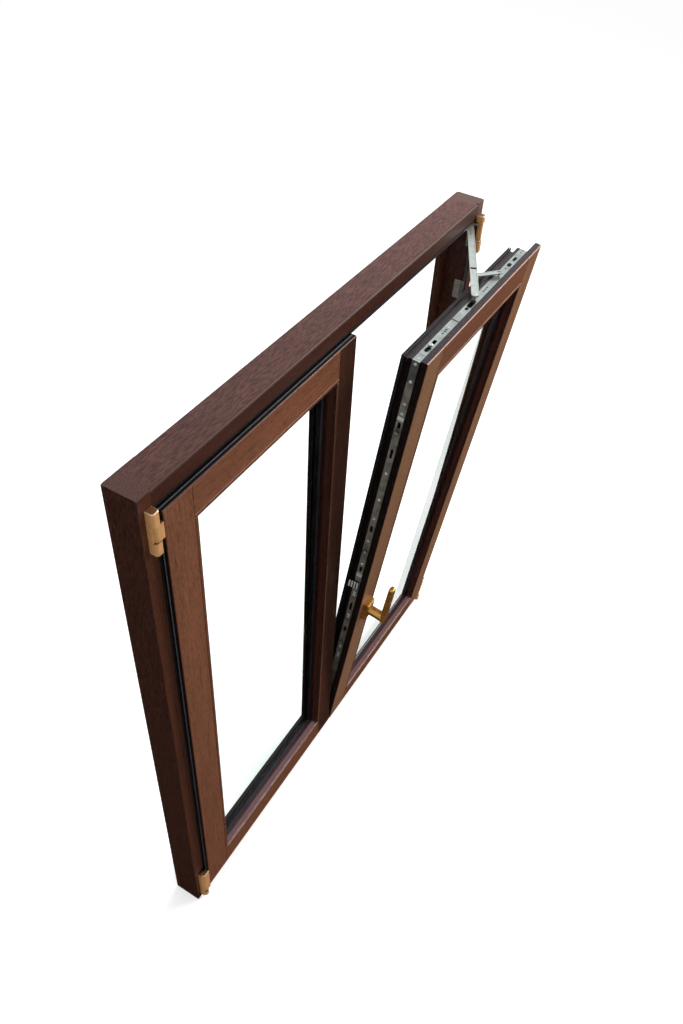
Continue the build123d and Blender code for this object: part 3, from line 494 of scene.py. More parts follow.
# The beads' purple top and arris paint the sky's reflection on their slopes.
BEAD_STAIN = {"deep": "#35170f", "warm": "#5a2a1c", "top": "#4a3133", "side": "#2c1410", "arris": "#6f5156"}
# The noses' pale top and arris are painted highlights.
NOSE_STAIN = {"deep": "#5a3626", "warm": "#7d5039", "top": "#a98a82", "side": "#3a211a", "arris": "#d6b3a6"}
JOINT_STAIN = {"deep": "#1d100c", "warm": "#2a1811", "top": "#20120e", "side": "#20120e", "arris": "#2a1811"}


class Finishes:
    """Every finish of the window, made once."""

    def __init__(self) -> None:
        """Make the materials."""
        self.frame_across = Timber(
            "stained_timber_frame_across", grain=Grain.ACROSS, gloss=0.48, **HEAD_STAIN
        ).make()
        self.frame_upright = Timber("stained_timber_frame_upright", grain=Grain.UPRIGHT, **JAMB_STAIN).make()
        self.left_across = Timber("stained_timber_left_across", grain=Grain.ACROSS, **LEFT_STAIN).make()
        self.left_upright = Timber("stained_timber_left_upright", grain=Grain.UPRIGHT, **LEFT_STAIN).make()
        # The meeting stile's darker timber is painted shade.
        self.meeting = Timber("stained_timber_meeting_painted_shade", grain=Grain.UPRIGHT, **MEETING_SHADE_STAIN).make()
        self.right_across = Timber(
            "stained_timber_right_across", grain=Grain.ACROSS, lean=REST_TILT, **RAIL_STAIN
        ).make()
        self.right_upright = Timber(
            "stained_timber_right_upright", grain=Grain.UPRIGHT, lean=REST_TILT, **STILE_STAIN
        ).make()
        self.bead = Timber("stained_timber_bead", grain=Grain.UPRIGHT, **BEAD_STAIN).make()
        self.nose = Timber("stained_timber_bead_nose", grain=Grain.ACROSS, **NOSE_STAIN).make()
        self.joint_line = Timber("stained_timber_joint", grain=Grain.UPRIGHT, **JOINT_STAIN).make()
        self.zinc = Metal("zinc_plated_steel", base="#bcc5c2", shade="#9faaa7", roughness=0.34).make()
        self.pale_zinc = Metal("bright_zinc_plate", base="#d0d8d4", shade="#bec8c4", roughness=0.42).make()
        # A rougher, darker copy of the zinc: its darkness paints shade and dark reflections.
        self.shaded_zinc = Metal(
            "zinc_plate_painted_shade", base="#a29f94", shade="#807c72", roughness=0.46, metallic=0.5
        ).make()
        # Near-white and hardly metallic: paints the glints on screw heads and light on the latch's ribs.
        self.nickel = Metal(
            "nickelled_steel_painted_bright", base="#e4e8e6", shade="#cdd3d0", roughness=0.4, metallic=0.2
        ).make()
        # Near black: paints the shade in holes, slots, the arm's groove and between the latch's ribs; on the top
        # plate it is also a dark joint.
        self.shade_black_steel = Metal("black_steel_painted_shade", base="#1c1d20", shade="#0e0f11", roughness=0.5).make()
        # The rim paints highlights on slanting edges; the cap paints shade on the hinges' flat tops.
        self.bronze = Metal(
            "bronze_lacquered_zinc", base="#e8b177", shade="#dba266", roughness=0.3, rim="#f4dcb4",
            cap="#7d5636", metallic=0.25, relief=0.01,
        ).make()
        # The rim paints highlights on the lever's slanting edges.
        self.lever_bronze = Metal(
            "bronze_lacquered_lever", base="#a06c2c", shade="#8a5a22", roughness=0.27, rim="#dcaa5d",
            metallic=0.45, relief=0.01,
        ).make()
        # The side colour paints shade on the spacer's sideways faces.
        self.aluminium = Metal(
            "aluminium_spacer", base="#d3d6d8", shade="#bfc3c6", roughness=0.5, side="#17171a"
        ).make()
        # A dark copy of the aluminium spacer: painted shade.
        self.spacer_painted_shade = Metal("spacer_painted_shade", base="#2b2e34", shade="#212328", roughness=0.5).make()
        self.rubber = Rubber("seal_rubber", base="#0e0f12", dust="#2c2e33").make()
        # Grey rubber for the seal's lip: a painted sheen on black rubber.
        self.seal_sheen_line = Rubber("seal_lip_rubber_painted_sheen", base="#4a5058", dust="#8b939c", roughness=0.3).make()
        # Lighter than the other rubber: partly the gasket's grey, partly a painted sheen.
        self.gasket = Rubber("frame_gasket_rubber_painted_sheen", base="#26282c", dust="#5d6167", roughness=0.3).make()
        self.glass = FloatGlass("float_glass", tint="#f8fcfa", index=1.5).make()
        self.coated_glass = FloatGlass("coated_float_glass", tint="#f8fcfa", index=1.08).make()


def dress(material: bpy.types.Material, *nodes: str) -> None:
    """Give CAD nodes a finish.

    Args:
        material: the finish.
        nodes: the names of the nodes.
    """
    for name in nodes:
        slots = frame["nodes"][name].data.materials
        slots.clear()
        slots.append(material)


def round_edges(mesh: bmesh.types.BMesh, lines: list, radius: float, segments: int) -> list:
    """Round a mesh's edges; one segment makes a chamfer.

    Args:
        mesh: the mesh.
        lines: the edges.
        radius: the radius or the chamfer's width.
        segments: the steps of a rounded edge.

    Returns:
        The new corner points.
    """
    return bmesh.ops.bevel(
        mesh, geom=lines, offset=radius, segments=segments, profile=0.5, affect="EDGES", material=-1
    )["verts"]


SHARP_ANGLE = math.radians(20)


class Shape:
    """A mesh under construction, in millimetres, in its closed place."""

    def __init__(self) -> None:
        """Start with nothing."""
        self.mesh = bmesh.new()

    def block(self, low: tuple, high: tuple, edge: float = 0.0, segments: int = 2) -> None:
        """Add a block between two corners, with its edges rounded.

        Args:
            low: the lowest corner.
            high: the highest corner.
            edge: the radius of its edges.
            segments: the steps of a rounded edge.
        """
        low, high = Vector(low), Vector(high)
        place = Matrix.Translation((low + high) / 2) @ Matrix.Diagonal((*(high - low), 1))
        made = bmesh.ops.create_cube(self.mesh, size=1.0, matrix=place)["verts"]
        if edge:
            edges = list({line for vert in made for line in vert.link_edges})
            round_edges(self.mesh, edges, edge, segments)

    def turned(self, profile: list, place: Matrix, steps: int = 28) -> None:
        """Add a turned form from pairs of radius and height.

        Args:
            profile: points from the middle of the top, outwards and down.
            place: where the form's own Z axis and base go.
            steps: the sides of the form.
        """
        verts = [self.mesh.verts.new((radius, 0, height)) for radius, height in profile]
        lines = [self.mesh.edges.new(pair) for pair in zip(verts, verts[1:])]
        spun = bmesh.ops.spin(
            self.mesh, geom=verts + lines, cent=(0, 0, 0), axis=(0, 0, 1), angle=math.tau, steps=steps,
            use_merge=True,
        )
        every = set(verts) | {item for item in spun["geom_last"] if isinstance(item, bmesh.types.BMVert)}
        grown = list(every)
        while grown:
            vert = grown.pop()
            for line in vert.link_edges:
                other = line.other_vert(vert)
                if other not in every:
                    every.add(other)
                    grown.append(other)
        bmesh.ops.transform(self.mesh, matrix=place, verts=list(every))

    def oblong(self, place: Matrix, length: float, width: float, height: float, edge: float = 0.0) -> None:
        """Add a bar with round ends.

        Args:
            place: where the bar's middle, length (X) and height (Z) go.
            length: the overall length.
            width: the width.
            height: the height above the place.
            edge: the radius of its upper edge.
        """
        verts = bmesh.ops.create_circle(self.mesh, cap_ends=True, segments=24, radius=width / 2)["verts"]
        face = next(iter(verts[0].link_faces))
        for vert in verts:
            if abs(vert.co.x) > 1e-6:
                vert.co.x += math.copysign((length - width) / 2, vert.co.x)
        top = bmesh.ops.extrude_face_region(self.mesh, geom=[face])["geom"]
        upper = [item for item in top if isinstance(item, bmesh.types.BMVert)]
        bmesh.ops.translate(self.mesh, verts=upper, vec=(0, 0, height))
        if edge:
            rim = [item for item in top if isinstance(item, bmesh.types.BMEdge)]
            new = round_edges(self.mesh, rim, edge, 2)
            upper = list(set(item for item in upper if item.is_valid) | set(new))
        bmesh.ops.transform(self.mesh, matrix=place, verts=list(set(verts) | set(upper)))

    def piece(
        self, name: str, body: str, material: bpy.types.Material, place: Matrix = SHUT
    ) -> bpy.types.Object:
        """Make the object, put its place in its mesh and let it ride.

        Args:
            name: the piece's name.
            body: the CAD body that it moves with.
            material: the finish.
            place: from the closed place to the place at rest.

        Returns:
            The new object.
        """
        bmesh.ops.remove_doubles(self.mesh, verts=self.mesh.verts[:], dist=0.001)
        bmesh.ops.recalc_face_normals(self.mesh, faces=self.mesh.faces[:])
        bmesh.ops.transform(self.mesh, matrix=Matrix.Scale(MM, 4) @ place, verts=self.mesh.verts[:])
        data = bpy.data.meshes.new(name)
        self.mesh.to_mesh(data)
        self.mesh.free()
        data.materials.append(material)
        data.shade_smooth()
        data.set_sharp_from_angle(angle=SHARP_ANGLE)
        made = bpy.data.objects.new(name, data)
        bpy.context.scene.collection.objects.link(made)
        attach(made, body)
        LOG.info("made %s on %s", name, body)
        return made


SCREW_HEAD = [(0.0, 0.25), (1.2, 0.25), (1.5, 0.9), (2.7, 0.75), (3.4, 0.3), (3.5, -0.4)]
CAM_HEAD = [(0.0, 0.1), (1.7, 0.1), (2.0, 0.9), (4.0, 0.8), (5.1, 0.1), (5.1, -2.6)]
RIVET_HEAD = [(0.0, 1.3), (1.6, 1.2), (3.6, 0.7), (4.3, 0.0), (4.3, -0.4)]
FLAT_RIVET = [(0.0, 0.8), (1.6, 0.75), (3.6, 0.4), (4.3, 0.0), (4.3, -0.4)]
EYE_RING = [(4.5, 0.0), (4.7, 0.7), (5.4, 0.7), (5.9, 0.0)]
NAIL_HEAD = [(0.0, 0.12), (0.8, 0.1), (1.1, -0.2)]


def on_top(x: float, rise: float = 0.0) -> Matrix:
    """A place on the right leaf's top edge, facing up."""
    return Matrix.Translation((x, PLATE_MIDDLE, TOP_FACE + rise))


def on_stile(z: float, rise: float = 0.0) -> Matrix:
    """A place on the right leaf's lock edge, facing the left leaf, with X along the edge."""
    turn = Matrix(((0, 0, -1, 0), (0, 1, 0, 0), (1, 0, 0, 0), (0, 0, 0, 1)))
    return Matrix.Translation((LOCK_FACE - rise, PLATE_MIDDLE, z)) @ turn


@dataclass
class FrameTimber:
    """The fixed frame: finishes, crisp corners, plates on the hinge side and a seal's lip."""

    finishes: Finishes
    stay_plate: tuple = ((-33.0, 1299.0), (-22.0, 1339.0))
    keep_plate: tuple = ((-33.0, 1163.0), (-9.5, 1208.0))
    plate_thickness: float = 1.6
    lip_depth: tuple = (-41.5, -39.5)
    lip_rise: float = 0.8
    half_width: float = 600.0
    half_depth: float = 34.0
    height: float = 1400.0
    arris: float = 6.5
    proud: float = 0.05
    soft: float = 1.3

    def dress(self) -> None:
        """Give the frame's solids their finishes."""
        dress(self.finishes.frame_across, "frame_head", "frame_sill")
        dress(self.finishes.frame_upright, "frame_left_jamb", "frame_right_jamb")
        dress(self.finishes.rubber, "meeting_gasket", "left_leaf_seal", "right_leaf_seal")
        dress(self.finishes.gasket, "frame_gasket")
        # The keeps take the darker zinc that paints their shade.
        dress(self.finishes.shaded_zinc, "jamb_keep", "head_keep", "meeting_keeps")

    def build(self) -> None:
        """Make the two thin plates on the right upright."""
        shape = Shape()
        for (near, low), (far, high) in (self.stay_plate, self.keep_plate):
            shape.block((JAMB_WALL - self.plate_thickness, near, low), (JAMB_WALL, far, high), 0.5)
        shape.piece("jamb_plates", "window_frame", self.finishes.zinc)

    def seal_sheen_line(self) -> None:
        """Make the lip of the seal on the left leaf's top and hinge edges, grey to paint the sheen on its rubber.
        """
        shape = Shape()
        near, far = self.lip_depth
        rise = self.lip_rise
        shape.block((LEFT_EDGE, near, LEAF_TOP - rise), (LEFT_LIP - 2, far, LEAF_TOP + rise), rise / 2)
        shape.block((LEFT_EDGE - rise, near, LEAF_BOTTOM + 2), (LEFT_EDGE + rise, far, LEAF_TOP), rise / 2)
        shape.piece("left_seal_lip", "window_frame", self.finishes.seal_sheen_line)

    def arrises(self) -> None:
        """Make the crisp outer corners of the uprights and of the head's back edge."""
        shape = Shape()
        side, depth = self.half_width + self.proud, self.half_depth + self.proud
        for x in (-side, side - self.arris):
            for y in (-depth, depth - self.arris):
                shape.block((x, y, 0), (x + self.arris, y + self.arris, self.height), self.soft)
        shape.piece("upright_arrises", "window_frame", self.finishes.frame_upright)
        shape = Shape()
        inner, top = self.half_width - self.arris, self.height + self.proud
        shape.block((-inner, depth - self.arris, top - self.arris), (inner, depth, top), self.soft)
        shape.piece("head_arris", "window_frame", self.finishes.frame_across)


@dataclass
class Leaf:
    """One leaf: timber, glass, beads with noses and nails, seal and lines of the butt joints."""

    finishes: Finishes
    name: str
    body: str
    place: Matrix
    opening: tuple
    stiles: tuple
    line: float = 1.2
    line_end: float = 3.0
    proud: float = 0.06
    nail_pitch: float = 150.0
    nail_inset: float = 9.0
    bead_setback: float = 2.0
    bead_flat: float = 4.0
    bead_slope: float = 11.0 / 12.0
    bead_width: float = 16.0
    glass_front: float = -23.0
    seal_width: float = 3.0
    seal_rise: float = 3.5
    seal_edge: float = 0.8
    nose: float = 7.0
    nose_proud: float = 0.8
    nose_depth: float = 5.0
    nose_edge: float = 0.8

    def dress(self, across: bpy.types.Material, upright: bpy.types.Material) -> None:
        """Give the leaf's solids their finishes.

        Args:
            across: the rails' timber.
            upright: the stiles' timber.
        """
        dress(across, f"{self.name}_top_rail", f"{self.name}_bottom_rail")
        dress(upright, *(f"{self.name}_{stile}" for stile in self.stiles))
        dress(self.finishes.bead, f"{self.name}_beads")
        dress(self.finishes.aluminium, f"{self.name}_spacer")
        dress(self.finishes.glass, f"{self.name}_glass")

    def joint_lines(self) -> None:
        """Make the fine dark lines where the rails butt against the stiles."""
        shape = Shape()
        lower = (LEAF_BOTTOM + self.line_end, LEAF_BOTTOM + RAIL_FACE)
        upper = (LEAF_TOP - RAIL_FACE, LEAF_TOP - self.line_end)
        for x in self.opening:
            for low, high in (lower, upper):
                shape.block(
                    (x - self.line / 2, LEAF_FRONT - self.proud, low),
                    (x + self.line / 2, LEAF_FRONT + self.proud, high), self.proud / 2, 1,
                )
        finish = self.finishes.joint_line
        shape.piece(f"{self.name}_joint_lines", self.body, finish, self.place)

    def nails(self) -> None:
        """Make the small nail heads along the four beads."""
        shape = Shape()
        low, high = LEAF_BOTTOM + RAIL_FACE, LEAF_TOP - RAIL_FACE
        left, right = self.opening
        depth = LEAF_FRONT + self.bead_setback + (self.nail_inset - self.bead_flat) * self.bead_slope
        slope = math.atan(self.bead_slope)
        runs = (
            (left + self.nail_inset, None, 0.0), (right - self.nail_inset, None, math.pi),
            (None, low + self.nail_inset, math.pi / 2), (None, high - self.nail_inset, -math.pi / 2),
        )
        for x, z, turn in runs:
            start, end = (low, high) if z is None else (left, right)
            count = round((end - start) / self.nail_pitch)
            for step in range(count):
                at = start + (end - start) * (step + 0.5) / count
                spot = Vector((x, depth, at)) if z is None else Vector((at, depth, z))
                face = Matrix.Rotation(turn, 4, "Y").inverted() @ Matrix.Rotation(math.pi / 2, 4, "X")
                tip = Matrix.Rotation(slope, 4, "Y")
                shape.turned(NAIL_HEAD, Matrix.Translation(spot) @ face @ tip, 10)
        finish = self.finishes.joint_line
        shape.piece(f"{self.name}_bead_nails", self.body, finish, self.place)

    def bead_noses(self) -> None:
        """Make the square noses of the four beads, which stand a little proud of the rails."""
        shape = Shape()
        near, far = LEAF_FRONT - self.nose_proud, LEAF_FRONT + self.nose_depth
        low, high = LEAF_BOTTOM + RAIL_FACE, LEAF_TOP - RAIL_FACE
        left, right = self.opening
        for z in (low, high - self.nose):
            shape.block((left, near, z), (right, far, z + self.nose), self.nose_edge)
        for x in (left, right - self.nose):
            shape.block((x, near, low + self.nose), (x + self.nose, far, high - self.nose), self.nose_edge)
        shape.piece(f"{self.name}_bead_noses", self.body, self.finishes.nose, self.place)

    def glazing_seal(self) -> None:
        """Make the black strip between the beads and the inner pane."""
        shape = Shape()
        left, right = self.opening[0] + self.bead_width, self.opening[1] - self.bead_width
        low, high = LEAF_BOTTOM + RAIL_FACE + self.bead_width, LEAF_TOP - RAIL_FACE - self.bead_width
        near, far = self.glass_front - self.seal_rise, self.glass_front
        for x in (left, right - self.seal_width):
            shape.block((x, near, low), (x + self.seal_width, far, high), self.seal_edge)
        for z in (low, high - self.seal_width):
            shape.block((left, near, z), (right, far, z + self.seal_width), self.seal_edge)
        shape.piece(f"{self.name}_glazing_seal", self.body, self.finishes.rubber, self.place)


@dataclass
class EdgeFittings:
    """Plates, screws, holes, cams and latch in the right leaf's edges."""

    finishes: Finishes
    top_screws: tuple = (34.0, 164.0)
    top_holes: tuple = (137.0, 146.0, 153.0, 268.0, 331.0, 340.0, 349.0, 445.0, 532.0, 543.0)
    top_slots: tuple = ((70.0, 17.0, 8.0), (246.5, 11.0, 6.5), (466.0, 16.0, 9.0), (497.0, 19.0, 7.0))
    hole: tuple = (4.4, 4.0)
    dark_sink: float = 0.4
    dark_height: float = 0.5
    joint_band: tuple = (192.0, 195.0)
    joint_half: float = 7.9
    joint_rise: float = 0.1
    stile_screws: tuple = (1336.0, 1293.0, 1236.0, 1211.0, 1041.0, 958.0, 895.0, 817.0, 732.0)
    stile_pairs: tuple = (613.0, 518.0, 382.0, 337.0)
    pair_step: float = 5.0
    stile_slots: tuple = ((1100.0, 26.0), (860.0, 20.0), (712.0, 18.0), (560.0, 30.0), (460.0, 18.0))
    slot_width: float = 6.0
    cams: tuple = (400.0, 780.0, 1160.0)
    top_cam: float = 81.0
    cam_rise: float = 7.0
    clips: tuple = ((683.0, 694.0), (1193.0, 1203.0))
    clip_half: float = 7.2
    clip_rise: float = 1.2
    latch_height: float = 652.0
    latch_size: tuple = (3.2, 27.0, 26.0)
    latch_turn: float = 9.0
    latch_lead: float = 6.0
    latch_gap: float = 0.6
    ribs: int = 4
    rib_share: float = 0.6
    rib_rise: float = 1.1

    def dress(self) -> None:
        """Give the fittings' solids their finishes."""
        dress(self.finishes.zinc, "top_plate", "corner_drive", "top_rod")
        # The stile plate takes the darker zinc that paints its shade and dark reflections.
        dress(self.finishes.shaded_zinc, "stile_plate", "stile_rod")

    def screws(self) -> None:
        """Make the screw heads of both plates and the two clips on the lock edge."""
        shape = Shape()
        for x in self.top_screws:
            shape.turned(SCREW_HEAD, on_top(x), 16)
        for z in self.stile_screws:
            shape.turned(SCREW_HEAD, on_stile(z), 16)
        for z in self.stile_pairs:
            for step in (-self.pair_step, self.pair_step):
                shape.turned(RIVET_HEAD, on_stile(z + step), 16)
        near, far = PLATE_MIDDLE - self.clip_half, PLATE_MIDDLE + self.clip_half
        for low, high in self.clips:
            shape.block((LOCK_FACE - self.clip_rise, near, low), (LOCK_FACE + 0.2, far, high), 0.5)
        # The near-white finish paints the glints on the heads and clips.
        shape.piece("edge_screws", "right_leaf", self.finishes.nickel, LEAN)

    def holes(self) -> None:
        """Make the holes, windows and joint of both plates; their black paints the shade inside the holes and
        windows, and the joint is a dark joint.
        """
        shape = Shape()
        for x in self.top_holes:
            shape.oblong(on_top(x, -self.dark_sink), *self.hole, self.dark_height)
        for x, length, width in self.top_slots:
            shape.oblong(on_top(x, -self.dark_sink), length, width, self.dark_height)
        for z, length in self.stile_slots:
            shape.oblong(on_stile(z, -self.dark_sink), length, self.slot_width, self.dark_height)
        low, high = self.joint_band
        near, far = PLATE_MIDDLE - self.joint_half, PLATE_MIDDLE + self.joint_half
        shape.block((low, near, TOP_FACE - self.dark_sink), (high, far, TOP_FACE + self.joint_rise), 0.04, 1)
        shape.piece("edge_holes", "right_leaf", self.finishes.shade_black_steel, LEAN)

    def cam_heads(self) -> None:
        """Make the ringed heads on the cams."""
        shape = Shape()
        for z in self.cams:
            shape.turned(CAM_HEAD, on_stile(z, self.cam_rise), 32)
        shape.piece("stile_cam_heads", "stile_rod", self.finishes.zinc, LEAN)
        shape = Shape()
        shape.turned(CAM_HEAD, on_top(self.top_cam, self.cam_rise), 32)
        shape.piece("top_cam_head", "top_rod", self.finishes.pale_zinc, LEAN)

    def latch(self) -> None:
        """Make the flap of the latch, which stands out at its back, and its ribs; the flap's near-black paints the
        shade between the ribs, and the ribs' near-white paints light on them.
        """
        thickness, depth, height = self.latch_size
        near = PLATE_MIDDLE - self.latch_lead
        low, high = self.latch_height - height / 2, self.latch_height + height / 2
        swing = LEAN @ turn_about(Vector((LOCK_FACE, near, 0)), self.latch_turn, "Z")
        face = LOCK_FACE - thickness
        shape = Shape()
        shape.block((face, near, low), (LOCK_FACE - self.latch_gap, near + depth, high), 0.6)
        flap = shape.piece("latch_flap", "right_leaf", self.finishes.shade_black_steel, swing)
        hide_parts("tilt_latch")
        shape = Shape()
        pitch = depth / self.ribs
        for step in range(self.ribs):
            start = near + pitch * (step + (1 - self.rib_share) / 2)
            end = start + pitch * self.rib_share
            shape.block((face - self.rib_rise, start, low + 1), (face + 0.4, end, high - 1), 0.4)
        shape.piece("latch_ribs", "right_leaf", self.finishes.nickel, swing)


@dataclass
class Stay:
    """The scissor stay's rims, rivets and grooves."""

    finishes: Finishes
    low: float = 1351.8
    thickness: float = 3.0
    width: float = 16.0
    start: float = 566.0
    end: float = 259.0
    link_pivot: float = 348.0
    link_eye: float = 410.2
    link_low: float = 1344.6
    link_thickness: float = 2.5
    link_width: float = 13.0
    rim: float = 1.6
    rim_rise: float = 0.9
    sink: float = 0.4
    groove: tuple = (361.0, 368.0)
    groove_rise: float = 0.15
    slot: tuple = (534.0, 44.0, 8.0)
    dot: float = 502.0

    def dress(self) -> None:
        """Give the stay's solids their finishes."""
        dress(self.finishes.pale_zinc, "stay_arm", "stay_link")

    def rims(self, shape: Shape, span: tuple, width: float, top: float) -> None:
        """Add the two raised rims of a pressed bar.

        Args:
            shape: the mesh to add to.
            span: where the rims start and end along the bar.
            width: the bar's width.
            top: the height of the bar's upper face.
        """
        for side in (-1, 1):
            y = PLATE_MIDDLE + side * (width - self.rim) / 2
            near, far = y - self.rim / 2, y + self.rim / 2
            shape.block((span[0], near, top - self.sink), (span[1], far, top + self.rim_rise), 0.4)

    def build(self) -> None:
        """Make the rims, rivets and groove of the arm and of the link."""
        top = self.low + self.thickness
        shape = Shape()
        self.rims(shape, (self.end + 4, self.start - 2), self.width, top)
        for x in (self.end, self.link_pivot):
            shape.turned(FLAT_RIVET, Matrix.Translation((x, PLATE_MIDDLE, top)), 24)
        shape.piece("stay_arm_rims", "stay_arm", self.finishes.pale_zinc, ARM_OPEN)
        # The groove and the dot are near black: painted shade in the recesses.
        shape = Shape()
        half = self.width / 2 - self.rim
        start, end = self.groove
        shape.block(
            (start, PLATE_MIDDLE - half, top - self.sink),
            (end, PLATE_MIDDLE + half, top + self.groove_rise), 0.05, 1,
        )
        shape.turned(NAIL_HEAD, Matrix.Translation((self.dot, PLATE_MIDDLE, top)), 12)
        shape.piece("stay_arm_groove", "stay_arm", self.finishes.shade_black_steel, ARM_OPEN)
        # The slot takes the darker zinc that paints the shade in it.
        shape = Shape()
        middle, *size = self.slot
        shape.oblong(Matrix.Translation((middle, PLATE_MIDDLE, top - self.sink)), *size, 0.5, 0.05)
        shape.piece("stay_arm_slot", "stay_arm", self.finishes.shaded_zinc, ARM_OPEN)
        top = self.link_low + self.link_thickness
        open_link = ARM_OPEN @ turn_about(Vector((self.link_pivot, PLATE_MIDDLE, 0)), LINK_SWING, "Z")
        shape = Shape()
        self.rims(shape, (self.link_pivot + 8, self.link_eye - 6), self.link_width, top)
        shape.turned(EYE_RING, Matrix.Translation((self.link_eye, PLATE_MIDDLE, top)), 24)
        shape.piece("stay_link_rims", "stay_link", self.finishes.pale_zinc, open_link)


@dataclass
class Hinges:
    """Bronze covers of the four hinges and the sleeve on the stay's arm."""

    finishes: Finishes
    pin: tuple = (579.0, -42.5)
    sleeve: tuple = (1309.6, 1355.8)
    sleeve_radius: float = 6.85
    collar: float = 1.4

    def dress(self) -> None:
        """Give the hinges' solids their finishes."""
        for side in ("left", "right"):
            dress(self.finishes.bronze, f"{side}_upper_hinge_bearing", f"{side}_lower_hinge_bearing")
            dress(self.finishes.bronze, f"{side}_lower_hinge_knuckle")
            dress(self.finishes.zinc, f"{side}_hinge_pins")
        dress(self.finishes.bronze, "left_upper_hinge_knuckle")

    def build(self) -> None:
        """Make the bronze sleeve over the arm's knuckle."""
        low, high = self.sleeve
        inner, outer = self.sleeve_radius - 0.7, self.sleeve_radius
        wall = [
            (inner, high), (outer - 0.5, high), (outer, high - 0.5), (outer, low + self.collar + 0.6),
            (outer - 0.4, low + self.collar), (outer, low + self.collar - 0.6), (outer, low + 0.3),
            (inner, low),
        ]
        shape = Shape()
        shape.turned(wall, Matrix.Translation((*self.pin, 0)), 40)
        shape.piece("stay_arm_sleeve", "stay_arm", self.finishes.bronze, ARM_OPEN)


@dataclass
class Handle:
    """The lever handle: a square rose and a lever with soft edges."""

    finishes: Finishes
    across: float = 41.5
    height: float = 565.0
    front: float = -110.3
    rose_front: float = -64.0
    thickness: float = 14.0
    length: float = 121.0
    neck: float = 24.0
    tip: float = 18.0
    soft: float = 5.2
    neck_chamfer: float = 7.0

    def dress(self) -> None:
        """Give the handle's solids their finish."""
        dress(self.finishes.lever_bronze, "handle_rose")

    def lever(self) -> None:
        """Make the lever with a rounded section and its eight-sided neck."""
        shape = Shape()
        foot, top = self.height - self.neck / 2, self.height + self.length
        place = Matrix.Translation((self.across, self.front + self.thickness / 2, (foot + top) / 2))
        size = Matrix.Diagonal((self.neck, self.thickness, top - foot, 1))
        verts = bmesh.ops.create_cube(shape.mesh, size=1.0, matrix=place @ size)["verts"]
        for vert in verts:
            if vert.co.z > self.height:
                vert.co.x = self.across + (vert.co.x - self.across) * self.tip / self.neck
        edges = list({line for vert in verts for line in vert.link_edges})
        round_edges(shape.mesh, edges, self.soft, 5)
        back = self.rose_front - 0.3
        near = self.front + self.thickness - self.soft
        place = Matrix.Translation((self.across, (near + back) / 2, self.height))
        size = Matrix.Diagonal((self.neck, back - near, self.neck, 1))
        verts = bmesh.ops.create_cube(shape.mesh, size=1.0, matrix=place @ size)["verts"]
        along = [
            line for line in {line for vert in verts for line in vert.link_edges}
            if abs(line.verts[0].co.y - line.verts[1].co.y) > 1
        ]
        round_edges(shape.mesh, along, self.neck_chamfer, 1)
        lever = shape.piece("lever", "handle", self.finishes.lever_bronze, LEAN)
        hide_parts("handle_lever")


